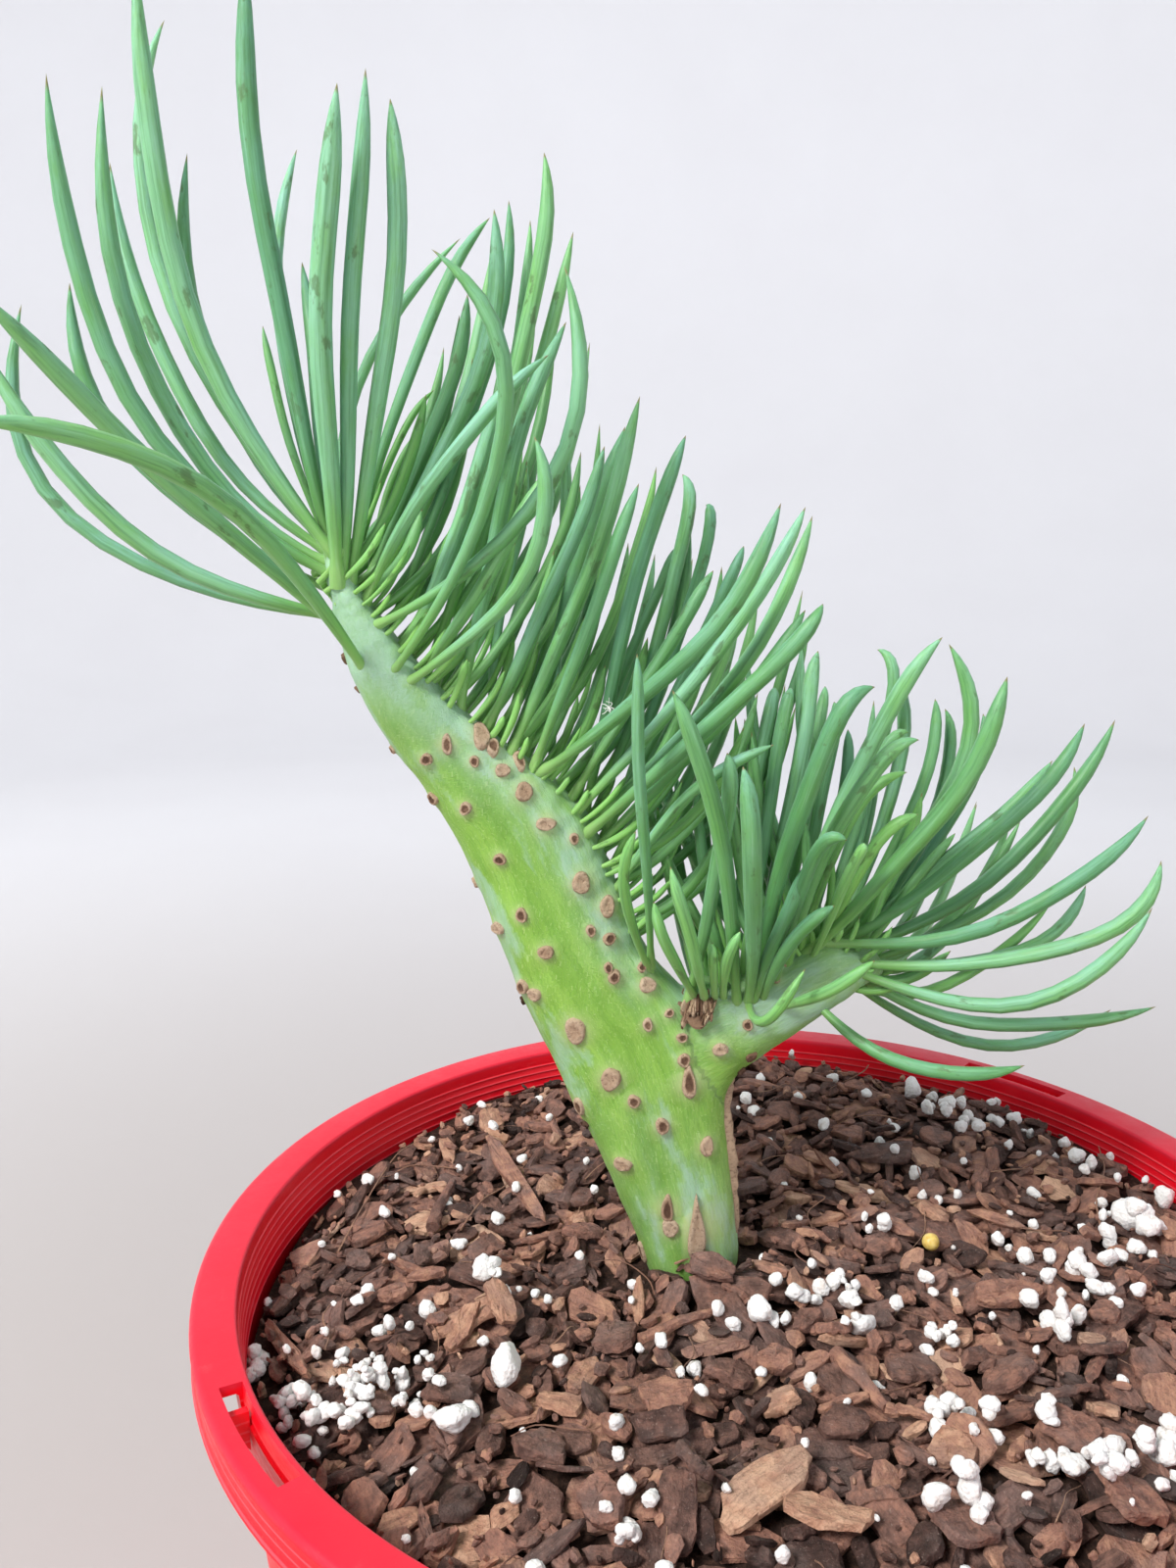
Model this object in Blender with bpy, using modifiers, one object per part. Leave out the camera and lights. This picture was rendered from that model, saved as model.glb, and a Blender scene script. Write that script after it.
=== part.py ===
"""A crested senecio in a round plastic pot, built at its real size.

Three pieces rest in each other: the pot, the potting mix that fills it, and the plant, whose stem
stands in a plain hole in the mix. The origin is the centre of the pot's base, +Z is up and the side
that is looked at faces -Y. Lengths below are in millimetres, and MM turns them into metres.
"""

from collections import namedtuple
from math import cos, radians, sin, tau

import bmesh
import bpy
import numpy as np

MM = 0.001
SEED = 11
GOLDEN_TURN = radians(137.5)

# Pot: a 200 mm nursery pot with a hollow rim
POT_HEIGHT = 150.0
RIM_RADIUS = 100.0
RIM_INNER_RADIUS = 92.5
RIM_THICKNESS = 1.8
RIM_ROUNDING = 1.2
RIM_INNER_ROUNDING = 0.6
SKIRT_DEPTH = 7.6
SKIRT_THICKNESS = 1.5
WALL_THICKNESS = 1.5
WALL_TOP_RADIUS = 94.4
BASE_RADIUS = 78.0
BASE_THICKNESS = 2.0
BASE_CHAMFER = 1.0
FLOOR_FILLET = 2.0
POT_STEPS = 48
SLOT_LENGTH = 24.0
SLOT_WIDTH = 2.7
SLOT_RADIUS = 94.9
SLOT_CUT = (-4.0, 2.0)
SLOT_BENDS = 5
SLOT_BEARINGS = (-146.0, 44.5)
DRAIN_SIDES = 12
DRAIN_COUNT = 8
DRAIN_RADIUS = 5.0
DRAIN_CIRCLE = 62.0

# Potting mix: its surface lies low at the front left and climbs towards the back right
TOUCH_GAP = 0.35
MIX_LOW = 13.0
MIX_CLIMB = 9.0
MIX_DOME = 5.0
MIX_HIGH_BEARING = 70.0
MIX_RIPPLE = 0.8
MIX_RINGS = 7
MIX_INNER_RING = 0.12
MIX_UNEVEN = 1.1
WALL_CLEARANCE = 2.0

# Bark chips and granules that stand out of the mix
CHIP_COUNT = 66
CHIP_RADIUS = (5.5, 10.0)
CHIP_THICKNESS = (1.5, 2.5)
CHIP_NARROWING = (0.6, 1.0)
GRANULE_COUNT = 26
GRANULE_RADIUS = (1.6, 2.8)
LUMP_SIDES = 5
LUMP_CORNERS = (0.65, 1.1)
LUMP_TILT = 0.35
LUMP_TOP = 0.75
LUMP_RISE = 0.15

# Sight lines: the plant's outline and leaves are placed as they look from one point in front
# of the pot, as (across, down) on an upright picture, with a depth behind the plane y = 0
EYE = np.array([-31.7, -212.8, POT_HEIGHT + 124.1])
EYE_PITCH = radians(10.91)
PICTURE_CENTRE = (600.0, 800.0)
PICTURE_DISTANCE = 1300.0

# Stem: pairs of points on its left and right edge, from the soil up, and its thickness there
Rung = namedtuple("Rung", "left right depth thickness")
STEM_RUNGS = (
    Rung((670, 1310), (752, 1268), 2, 15),
    Rung((640, 1235), (749, 1205), 2, 15),
    Rung((608, 1165), (744, 1140), 2, 15),
    Rung((580, 1110), (742, 1085), 2, 15),
    Rung((552, 1055), (728, 1040), 2, 14),
    Rung((527, 1000), (698, 1012), 2, 14),
    Rung((503, 938), (664, 972), 2, 14),
    Rung((484, 892), (636, 916), 2, 13),
    Rung((462, 848), (614, 862), 2, 13),
    Rung((436, 805), (588, 816), 2, 13),
    Rung((404, 765), (542, 778), 2, 12),
    Rung((374, 718), (492, 742), 2, 12),
    Rung((353, 672), (446, 700), 2, 11),
    Rung((344, 632), (408, 655), 2, 10),
    Rung((338, 595), (376, 614), 2, 9),
    Rung((334, 566), (352, 578), 2, 7),
)
BRANCH_RUNGS = (
    Rung((690, 1120), (735, 1150), 3, 9),
    Rung((700, 1004), (748, 1098), 2, 13),
    Rung((738, 998), (775, 1074), 2, 12),
    Rung((776, 992), (806, 1054), 1, 11),
    Rung((812, 972), (836, 1034), 0, 11),
    Rung((842, 960), (866, 1014), 0, 10),
    Rung((866, 966), (884, 1000), 1, 9),
)
STEM_SIDES = 14
STEM_SQUARENESS = 2.4
BURIED_DEPTH = 34.0
BURIED_TAPER = 0.72
HOLE_RUNGS = 4

# Leaves: round, pointed and bent in one plain arc from root through middle to tip
LEAF_RADIUS = 1.8
LEAF_SIDES = 5
LONG_LEAF = 58.0
LONG_STATIONS = (0.0, 0.18, 0.42, 0.66, 0.86)
SHORT_STATIONS = (0.0, 0.3, 0.6, 0.85)
LEAF_SINK = 2.5
LEAF_ROOT_SHARE = 0.68
LEAF_FULL_FROM = 0.45
LEAF_FULL_TO = 0.72
LEAF_POINTING = 2.5
Leaf = namedtuple("Leaf", "root middle tip depths girth", defaults=(1.0,))

HEAD_LEAVES = (
    Leaf((372, 684), (200, 497), (-45, 430), (-2, -30, -52)),
    Leaf((345, 640), (165, 480), (-30, 292), (-1, -20, -40)),
    Leaf((345, 630), (125, 537), (-18, 350), (1, -9, -13)),
    Leaf((340, 628), (72, 528), (22, 310), (4, 4, 8), 0.85),
    Leaf((336, 585), (134, 402), (47, 74), (0, -9, -14)),
    Leaf((330, 572), (160, 400), (104, 87), (1, -3, -4)),
    Leaf((330, 560), (182, 400), (112, 165), (3, 6, 10), 0.9),
    Leaf((334, 556), (192, 300), (138, -48), (-1, -8, -12), 1.1),
    Leaf((330, 556), (160, 262), (168, 20), (4, 8, 13), 0.8),
    Leaf((334, 556), (215, 375), (191, 156), (5, 12, 16), 0.8),
    Leaf((336, 600), (140, 470), (71, 288), (4, 7, 9), 0.9),
    Leaf((336, 556), (272, 240), (250, -50), (0, -4, -6), 1.05),
    Leaf((338, 556), (286, 330), (303, 152), (5, 12, 18), 0.7),
    Leaf((336, 560), (290, 430), (268, 332), (3, 7, 10), 0.5),
    Leaf((342, 566), (325, 410), (308, 267), (5, 13, 17), 0.8),
    Leaf((344, 584), (331, 330), (344, 84), (-2, -11, -17), 1.2),
    Leaf((350, 592), (361, 330), (373, 69), (-1, -8, -12), 0.9),
    Leaf((358, 592), (398, 310), (398, 100), (0, -6, -9), 1.0),
)

CREST_LEAVES = (
    Leaf((402, 684), (515, 440), (440, 254), (-3, -20, -24), 0.9),
    Leaf((346, 584), (366, 395), (470, 243), (5, 14, 17), 0.7),
    Leaf((356, 592), (424, 360), (500, 222), (5, 8, 10), 0.8),
    Leaf((372, 604), (481, 392), (504, 213), (2, 2, 3), 1.1),
    Leaf((400, 634), (494, 380), (519, 204), (5, 8, 9), 0.8),
    Leaf((424, 664), (512, 420), (541, 224), (5, 7, 9), 0.8),
    Leaf((436, 684), (533, 370), (555, 155), (4, 2, 2), 1.05),
    Leaf((446, 694), (530, 440), (585, 236), (5, 12, 14), 0.9),
    Leaf((388, 636), (560, 490), (576, 271), (-2, -15, -12), 0.95),
    Leaf((470, 722), (516, 500), (578, 328), (1, -4, -4), 1.0),
    Leaf((562, 796), (572, 600), (579, 440), (5, 14, 18), 0.8),
    Leaf((420, 694), (540, 575), (545, 445), (-3, -17, -20), 0.95),
    Leaf((370, 604), (446, 430), (477, 300), (4, 5, 6), 0.95),
    Leaf((378, 604), (455, 470), (560, 362), (-1, -9, -8), 0.9),
    Leaf((360, 592), (398, 468), (443, 398), (5, 10, 13), 0.5),
    Leaf((372, 612), (396, 505), (427, 440), (5, 12, 15), 0.5),
    Leaf((414, 664), (470, 530), (512, 392), (2, -1, 0), 0.95),
    Leaf((434, 684), (500, 582), (566, 470), (-1, -8, -10), 0.9),
    Leaf((500, 744), (517, 590), (548, 490), (5, 9, 12), 0.8),
    Leaf((524, 762), (598, 585), (653, 404), (-1, -7, -7), 1.0),
    Leaf((536, 766), (590, 580), (638, 435), (3, 3, 4), 1.0),
    Leaf((500, 738), (570, 585), (617, 455), (0, -2, -2), 0.95),
    Leaf((548, 774), (606, 620), (652, 493), (-2, -11, -12), 0.85),
    Leaf((598, 824), (652, 590), (700, 444), (3, -1, 0), 0.95),
    Leaf((606, 832), (690, 590), (696, 484), (5, 10, 13), 0.95),
    Leaf((590, 812), (655, 640), (690, 558), (5, 13, 16), 0.7),
    Leaf((618, 860), (708, 600), (720, 516), (5, 7, 9), 0.8),
    Leaf((590, 804), (675, 668), (728, 582), (0, -5, -5), 0.85),
    Leaf((616, 852), (715, 655), (759, 557), (4, 4, 5), 0.8),
    Leaf((558, 784), (705, 665), (797, 513), (-2, -16, -17), 1.1),
    Leaf((594, 822), (735, 660), (822, 517), (-1, -11, -12), 0.95),
    Leaf((604, 838), (752, 684), (829, 526), (1, -6, -6), 0.95),
    Leaf((604, 846), (760, 708), (840, 616), (-2, -18, -19), 1.05),
    Leaf((612, 862), (742, 728), (822, 622), (0, -12, -13), 0.9),
    Leaf((624, 884), (690, 780), (775, 690), (1, -6, -8), 0.8),
    Leaf((630, 905), (705, 812), (790, 760), (-1, -10, -14), 0.75),
    Leaf((664, 976), (655, 800), (650, 667), (-3, -15, -20), 0.75),
    Leaf((660, 984), (638, 912), (649, 848), (-3, -14, -18), 0.7),
)

BRANCH_LEAVES = (
    Leaf((752, 1020), (730, 840), (686, 704), (-3, -17, -20), 1.0),
    Leaf((704, 1014), (738, 856), (742, 768), (-2, -11, -14), 0.95),
    Leaf((764, 1022), (770, 890), (758, 782), (-3, -20, -24), 1.1),
    Leaf((706, 1012), (682, 968), (667, 920), (-3, -12, -14), 0.7),
    Leaf((718, 1014), (703, 955), (684, 884), (-4, -14, -16), 0.75),
    Leaf((738, 1012), (742, 982), (756, 950), (-4, -10, -12), 0.65),
    Leaf((729, 1014), (728, 988), (727, 962), (-4, -9, -10), 0.6),
    Leaf((768, 1024), (796, 950), (824, 880), (-3, -11, -12), 0.85),
    Leaf((778, 1020), (808, 962), (852, 924), (-3, -13, -16), 0.8),
    Leaf((764, 1026), (783, 1040), (822, 988), (-4, -15, -17), 0.65),
    Leaf((796, 1028), (842, 1012), (893, 980), (-4, -15, -18), 0.75),
    Leaf((850, 962), (1035, 935), (1172, 832), (-2, -9, -9), 1.0),
    Leaf((866, 982), (1090, 968), (1185, 878), (-1, -11, -14), 1.0),
    Leaf((870, 990), (1050, 1020), (1176, 926), (-2, -17, -21), 0.95),
    Leaf((872, 994), (1020, 1046), (1180, 1027), (1, 3, 5), 0.9),
    Leaf((866, 1000), (1008, 1064), (1134, 1030), (3, 12, 18), 0.8),
    Leaf((830, 1020), (930, 1088), (1046, 1087), (-2, -15, -20), 0.85),
    Leaf((852, 966), (1012, 855), (1107, 738), (0, -3, -2), 1.0),
    Leaf((862, 972), (1032, 878), (1138, 734), (2, 4, 6), 1.0),
    Leaf((850, 964), (985, 864), (1074, 776), (3, 4, 6), 0.9),
    Leaf((832, 966), (960, 828), (1028, 690), (-2, -11, -13), 1.15),
    Leaf((850, 964), (976, 790), (968, 657), (3, 8, 10), 1.0),
    Leaf((792, 1000), (875, 785), (962, 650), (-1, -8, -10), 1.0),
    Leaf((772, 1030), (822, 800), (893, 701), (-2, -17, -20), 1.1),
    Leaf((800, 1000), (865, 822), (938, 755), (-1, -12, -15), 0.95),
    Leaf((812, 990), (862, 846), (926, 788), (0, -6, -8), 0.7),
    Leaf((812, 984), (880, 800), (927, 748), (3, 1, 1), 0.7),
    Leaf((826, 974), (903, 745), (895, 663), (4, 12, 16), 0.8),
    Leaf((846, 966), (916, 790), (908, 681), (4, 14, 19), 0.9),
    Leaf((858, 966), (938, 805), (954, 713), (4, 9, 12), 0.8),
    Leaf((868, 974), (958, 815), (964, 723), (4, 12, 15), 0.8),
    Leaf((870, 978), (978, 822), (1003, 728), (4, 15, 20), 0.85),
    Leaf((770, 1016), (812, 780), (835, 664), (3, 8, 11), 1.0),
    Leaf((740, 1022), (775, 785), (791, 702), (4, 12, 16), 0.9),
    Leaf((752, 1018), (791, 790), (807, 702), (3, 6, 8), 0.85),
    Leaf((786, 1004), (828, 790), (842, 700), (4, 14, 18), 0.8),
    Leaf((800, 994), (842, 800), (851, 716), (3, 9, 12), 0.85),
    Leaf((816, 984), (857, 825), (865, 744), (4, 16, 21), 0.8),
    Leaf((874, 986), (1050, 892), (1096, 782), (3, 10, 14), 0.85),
    Leaf((874, 990), (1040, 968), (1108, 903), (3, 9, 13), 0.8),
    Leaf((836, 970), (888, 872), (937, 831), (-1, -8, -10), 0.75),
    Leaf((826, 984), (866, 895), (883, 861), (-2, -11, -14), 0.65),
    Leaf((790, 1010), (826, 886), (864, 858), (-2, -15, -20), 0.8),
    Leaf((872, 982), (930, 905), (975, 850), (2, 3, 5), 0.65),
)

# Leaves by rule: rows along the growing edge, on the side that faces away and between the others
CREST_LINE = ((340, 566), (372, 606), (412, 655), (458, 705), (510, 750), (560, 788), (600, 836),
              (630, 900), (655, 962))
BRANCH_LINE = ((712, 1018), (752, 1006), (800, 976), (840, 956), (878, 982), (868, 1010))
Row = namedtuple("Row", "line count depth lean lift length")
LEAF_ROWS = (
    Row(CREST_LINE, 23, 4.5, 0.95, 0.75, (48, 74)),
    Row(CREST_LINE, 7, 3.0, 0.45, 0.95, (38, 56)),
    Row(BRANCH_LINE, 14, 4.0, 0.95, 0.60, (44, 64)),
    Row(BRANCH_LINE, 5, 2.5, 0.45, 0.85, (34, 48)),
)
ROW_JITTER = 0.3
ROW_SINK = 2.5
ROW_SIDEWAYS = 0.25
ROW_LEAN_SPREAD = (0.7, 1.3)
ROW_GIRTH = (0.75, 1.0)
ROW_EARLY_LIFT = 0.35

# Leaf scars: low corky bumps where old leaves fell, as (across, down) and their radius
SCARS = (
    ((435, 775), 1.1), ((485, 778), 1.2), ((497, 757), 2.2), ((535, 808), 1.5), ((475, 825), 1.1),
    ((557, 841), 1.5), ((510, 877), 1.2), ((593, 902), 1.7), ((532, 934), 1.2), ((507, 947), 1.1),
    ((557, 972), 1.2), ((545, 1015), 1.3), ((587, 1053), 2.1), ((623, 1102), 1.9), ((647, 1124), 1.1),
    ((675, 1147), 1.5), ((635, 1188), 1.5), ((720, 1172), 1.4), ((682, 1244), 2.0), ((661, 1046), 1.1),
)
SCAR_HEIGHT = 0.7
SCAR_SINK = 2.0
SCAR_SIDES = 5
SCAR_STRETCH = 1.25
SCAR_TOP = 0.6
SMOOTH_UP_TO = radians(40.0)

COLOURS = {
    "pot": (0.80, 0.02, 0.03),
    "potting_mix": (0.16, 0.075, 0.045),
    "crested_senecio": (0.22, 0.50, 0.22),
}
ROUGHNESS = {"pot": 0.35, "potting_mix": 0.9, "crested_senecio": 0.55}


def clear_scene():
    for obj in list(bpy.data.objects):
        bpy.data.objects.remove(obj, do_unlink=True)


def new_collection(name):
    collection = bpy.data.collections.new(name)
    bpy.context.scene.collection.children.link(collection)
    return collection


def add_object(name, mesh, collection):
    obj = bpy.data.objects.new(name, mesh)
    collection.objects.link(obj)
    return obj


def add_helper(name, mesh, collection):
    """A cutter, or a shape that is joined to another: it isn't a piece of the object."""
    obj = add_object(name, mesh, collection)
    obj.hide_render = True
    obj.display_type = "WIRE"
    return obj


def finish_piece(obj):
    material = bpy.data.materials.new(obj.name)
    material.use_nodes = True
    shader = material.node_tree.nodes["Principled BSDF"]
    shader.inputs["Base Color"].default_value = (*COLOURS[obj.name], 1.0)
    shader.inputs["Roughness"].default_value = ROUGHNESS[obj.name]
    shader.inputs["Metallic"].default_value = 0.0
    obj.data.materials.clear()
    obj.data.materials.append(material)
    obj.data.shade_smooth()
    obj.data.set_sharp_from_angle(angle=SMOOTH_UP_TO)


def apply_modifiers(obj):
    graph = bpy.context.evaluated_depsgraph_get()
    mesh = bpy.data.meshes.new_from_object(obj.evaluated_get(graph))
    obj.modifiers.clear()
    obj.data = mesh


def boolean_with(obj, collection, operation, solver="EXACT"):
    """Joins or cuts obj with everything in the collection, and then clears the collection."""
    modifier = obj.modifiers.new(operation.title(), "BOOLEAN")
    modifier.operation = operation
    modifier.solver = solver
    modifier.operand_type = "COLLECTION"
    modifier.collection = collection
    apply_modifiers(obj)
    for helper in list(collection.objects):
        bpy.data.objects.remove(helper, do_unlink=True)
    bpy.data.collections.remove(collection)


def mesh_of(bm, name):
    bmesh.ops.recalc_face_normals(bm, faces=bm.faces)
    mesh = bpy.data.meshes.new(name)
    bm.to_mesh(mesh)
    bm.free()
    return mesh


def loft(name, rings, point=None):
    """A closed body through rings of points that may differ in shape, ending in a point if given."""
    bm = bmesh.new()
    rows = [[bm.verts.new(p * MM) for p in ring] for ring in rings]
    sides = len(rows[0])
    for low, high in zip(rows, rows[1:]):
        for i in range(sides):
            j = (i + 1) % sides
            bm.faces.new((low[i], low[j], high[j], high[i]))
    bm.faces.new(rows[0])
    if point is None:
        bm.faces.new(rows[-1])
    else:
        end = bm.verts.new(point * MM)
        for i in range(sides):
            bm.faces.new((rows[-1][i], rows[-1][(i + 1) % sides], end))
    return mesh_of(bm, name)


def unit(vector):
    return vector / np.linalg.norm(vector)


def seen(spot, depth):
    """The point at y = depth that lies on the sight line through a spot of the picture."""
    forward = np.array([0.0, cos(EYE_PITCH), -sin(EYE_PITCH)])
    upward = np.array([0.0, sin(EYE_PITCH), cos(EYE_PITCH)])
    across = (spot[0] - PICTURE_CENTRE[0]) / PICTURE_DISTANCE
    down = (spot[1] - PICTURE_CENTRE[1]) / PICTURE_DISTANCE
    ray = forward + np.array([across, 0.0, 0.0]) - upward * down
    return EYE + ray * (depth - EYE[1]) / ray[1]


def along(points, share):
    """The point a share of the way along a run of points, by their count."""
    place = share * (len(points) - 1)
    i = min(int(place), len(points) - 2)
    return points[i] + (points[i + 1] - points[i]) * (place - i)


def wall_radius(height):
    """Radius of the pot's outer wall, which widens evenly upwards."""
    return BASE_RADIUS + (WALL_TOP_RADIUS - BASE_RADIUS) * height / POT_HEIGHT


def make_pot(collection):
    """A turned shell from the middle of its floor up the inside, over the rim and down the outside."""
    top = POT_HEIGHT
    skirt_low = top - SKIRT_DEPTH
    channel_roof = top - RIM_THICKNESS
    fillet_top = BASE_THICKNESS + FLOOR_FILLET
    profile = (
        (0.0, BASE_THICKNESS),
        (wall_radius(BASE_THICKNESS) - WALL_THICKNESS - FLOOR_FILLET, BASE_THICKNESS),
        (wall_radius(fillet_top) - WALL_THICKNESS, fillet_top),
        (wall_radius(skirt_low) - WALL_THICKNESS, skirt_low),
        (RIM_INNER_RADIUS, top - RIM_INNER_ROUNDING),
        (RIM_INNER_RADIUS + RIM_INNER_ROUNDING, top),
        (RIM_RADIUS - RIM_ROUNDING, top),
        (RIM_RADIUS - RIM_ROUNDING * 0.3, top - RIM_ROUNDING * 0.3),
        (RIM_RADIUS, top - RIM_ROUNDING),
        (RIM_RADIUS, skirt_low),
        (RIM_RADIUS - SKIRT_THICKNESS, skirt_low),
        (RIM_RADIUS - SKIRT_THICKNESS, channel_roof),
        (wall_radius(channel_roof), channel_roof),
        (wall_radius(BASE_CHAMFER), BASE_CHAMFER),
        (BASE_RADIUS - BASE_CHAMFER, 0.0),
        (0.0, 0.0),
    )
    mesh = bpy.data.meshes.new("pot")
    mesh.from_pydata(
        [(r * MM, 0.0, z * MM) for r, z in profile],
        [(i, i + 1) for i in range(len(profile) - 1)],
        [],
    )
    pot = add_object("pot", mesh, collection)
    screw = pot.modifiers.new("Turn", "SCREW")
    screw.axis = "Z"
    screw.angle = tau
    screw.steps = POT_STEPS
    screw.render_steps = POT_STEPS
    screw.use_merge_vertices = True
    screw.merge_threshold = 0.00001
    apply_modifiers(pot)
    cutters = new_collection("pot_cutters")
    for i, bearing in enumerate(SLOT_BEARINGS):
        add_slot_cutter(f"slot_{i}", radians(bearing), cutters)
    for i in range(DRAIN_COUNT):
        add_drain_cutter(f"drain_{i}", tau * (i + 0.5) / DRAIN_COUNT, cutters)
    boolean_with(pot, cutters, "DIFFERENCE")
    return pot


def add_slot_cutter(name, bearing, cutters):
    """A bar bent round the pot's axis that opens the rim above its channel."""
    inner, outer = SLOT_RADIUS - SLOT_WIDTH / 2, SLOT_RADIUS + SLOT_WIDTH / 2
    low, high = (POT_HEIGHT + end for end in SLOT_CUT)
    half = SLOT_LENGTH / SLOT_RADIUS / 2
    rings = []
    for angle in np.linspace(bearing - half, bearing + half, SLOT_BENDS):
        outward = np.array([cos(angle), sin(angle), 0.0])
        corners = ((inner, low), (outer, low), (outer, high), (inner, high))
        rings.append([outward * radius + np.array([0.0, 0.0, height]) for radius, height in corners])
    add_helper(name, loft(name, rings), cutters)


def add_drain_cutter(name, bearing, cutters):
    bm = bmesh.new()
    bmesh.ops.create_cone(
        bm, cap_ends=True, segments=DRAIN_SIDES, radius1=DRAIN_RADIUS * MM, radius2=DRAIN_RADIUS * MM,
        depth=4 * BASE_THICKNESS * MM,
    )
    centre = (DRAIN_CIRCLE * MM * cos(bearing), DRAIN_CIRCLE * MM * sin(bearing), 0.0)
    bmesh.ops.translate(bm, verts=bm.verts, vec=centre)
    add_helper(name, mesh_of(bm, name), cutters)


def mix_height(x, y):
    """Height of the potting mix's surface over the pot's base."""
    reach = np.hypot(x, y) / RIM_INNER_RADIUS
    turn = np.arctan2(y, x) - radians(MIX_HIGH_BEARING)
    climb = MIX_CLIMB * (0.5 + 0.5 * np.cos(turn)) ** 1.5 * reach ** 1.3
    dome = MIX_DOME * (1.0 - reach ** 2)
    ripple = MIX_RIPPLE * np.sin(x / 11.0 + 1.0) * np.cos(y / 13.0)
    return POT_HEIGHT - MIX_LOW + climb + dome + ripple


def mix_radius(height):
    """Radius of the mix where it lies against the pot's wall."""
    return min(wall_radius(height) - WALL_THICKNESS, RIM_INNER_RADIUS - 0.3) - TOUCH_GAP


def mix_body():
    """The mix without its chips: it fills the pot, and its top is an uneven, broken surface."""
    random = np.random.default_rng(SEED)
    angles = [tau * i / POT_STEPS for i in range(POT_STEPS)]
    floor = BASE_THICKNESS + TOUCH_GAP
    fillet_top = floor + FLOOR_FILLET
    foot = ((mix_radius(floor) - FLOOR_FILLET, floor), (mix_radius(fillet_top), fillet_top))
    rings = [
        [np.array([radius * cos(a), radius * sin(a), height]) for a in angles]
        for radius, height in foot
    ]
    top_radius = mix_radius(POT_HEIGHT)
    for share in np.linspace(1.0, MIX_INNER_RING, MIX_RINGS):
        ring = []
        for angle in angles:
            x, y = top_radius * share * cos(angle), top_radius * share * sin(angle)
            height = mix_height(x, y)
            if share == 1.0:
                fit = mix_radius(height) / top_radius
                ring.append(np.array([x * fit, y * fit, height]))
            else:
                ring.append(np.array([x, y, height]) + MIX_UNEVEN * random.uniform(-1.0, 1.0, 3))
        rings.append(ring)
    return loft("potting_mix", rings, np.array([0.0, 0.0, mix_height(0.0, 0.0)]))


def make_mix(collection):
    """The mix with its bark chips and granules, and the plain hole in which the stem stands."""
    mix = add_object("potting_mix", mix_body(), collection)
    lumps = new_collection("mix_lumps")
    add_lumps(lumps)
    boolean_with(mix, lumps, "UNION")
    holes = new_collection("mix_hole")
    hole_rings = buried_rings(TOUCH_GAP) + stem_rings(STEM_RUNGS[:HOLE_RUNGS], TOUCH_GAP)
    add_helper("stem_hole", loft("stem_hole", hole_rings), holes)
    boolean_with(mix, holes, "DIFFERENCE")
    return mix


def add_lumps(collection):
    """Bark chips as tilted flakes with uneven corners, and granules as small blunt lumps."""
    random = np.random.default_rng(SEED)
    count = CHIP_COUNT + GRANULE_COUNT
    for i in range(count):
        is_chip = i * GRANULE_COUNT % count >= GRANULE_COUNT
        size = random.uniform(*(CHIP_RADIUS if is_chip else GRANULE_RADIUS))
        thickness = random.uniform(*CHIP_THICKNESS) if is_chip else size
        narrowing = random.uniform(*CHIP_NARROWING) if is_chip else 1.0
        corners = size * random.uniform(*LUMP_CORNERS, LUMP_SIDES)
        reach = RIM_INNER_RADIUS - WALL_CLEARANCE - size * max(LUMP_CORNERS)
        radius = reach * np.sqrt((i + 0.5) / count)
        bearing = i * GOLDEN_TURN
        centre = np.array([radius * cos(bearing), radius * sin(bearing), 0.0])
        centre[2] = mix_height(centre[0], centre[1]) + thickness * LUMP_RISE
        tilt = random.uniform(-LUMP_TILT, LUMP_TILT, 2)
        normal = unit(np.array([tilt[0], tilt[1], 1.0]))
        turn = random.uniform(0.0, tau)
        first = unit(np.cross(normal, (cos(turn), sin(turn), 0.0)))
        second = np.cross(normal, first) * narrowing
        spokes = [
            corners[k] * (first * cos(tau * k / LUMP_SIDES) + second * sin(tau * k / LUMP_SIDES))
            for k in range(LUMP_SIDES)
        ]
        rings = [
            [centre + normal * rise * thickness + spoke * share for spoke in spokes]
            for rise, share in ((-1.0, 1.0), (1.0, LUMP_TOP))
        ]
        name = f"chip_{i}" if is_chip else f"granule_{i}"
        add_helper(name, loft(name, rings), collection)


def stem_ring(left, right, thickness, grow=0.0):
    """A rounded flat section between two edge points, as thick as given along Y."""
    middle = (left + right) / 2
    half = (right - left) / 2
    half = half + unit(half) * grow
    back = np.array([0.0, thickness / 2 + grow, 0.0])
    ring = []
    for k in range(STEM_SIDES):
        angle = tau * k / STEM_SIDES
        across = np.sign(cos(angle)) * abs(cos(angle)) ** (2 / STEM_SQUARENESS)
        deep = np.sign(sin(angle)) * abs(sin(angle)) ** (2 / STEM_SQUARENESS)
        ring.append(middle + half * across + back * deep)
    return ring


def stem_rings(rungs, grow=0.0):
    return [
        stem_ring(seen(rung.left, rung.depth), seen(rung.right, rung.depth), rung.thickness, grow)
        for rung in rungs
    ]


def buried_rings(grow=0.0):
    """The end of the stem below the surface: it narrows and ends flat."""
    foot = STEM_RUNGS[0]
    left, right = seen(foot.left, foot.depth), seen(foot.right, foot.depth)
    middle = (left + right) / 2
    rings = []
    for share in (1.0, 0.5):
        narrow = 1.0 + (BURIED_TAPER - 1.0) * share
        sink = np.array([0.0, 0.0, BURIED_DEPTH * share + grow])
        level = np.array([(right - left)[0] / 2, 0.0, (right - left)[2] / 2 * (1.0 - share)])
        rings.append(stem_ring(middle - level * narrow - sink, middle + level * narrow - sink,
                               foot.thickness * narrow, grow))
    return rings


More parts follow.
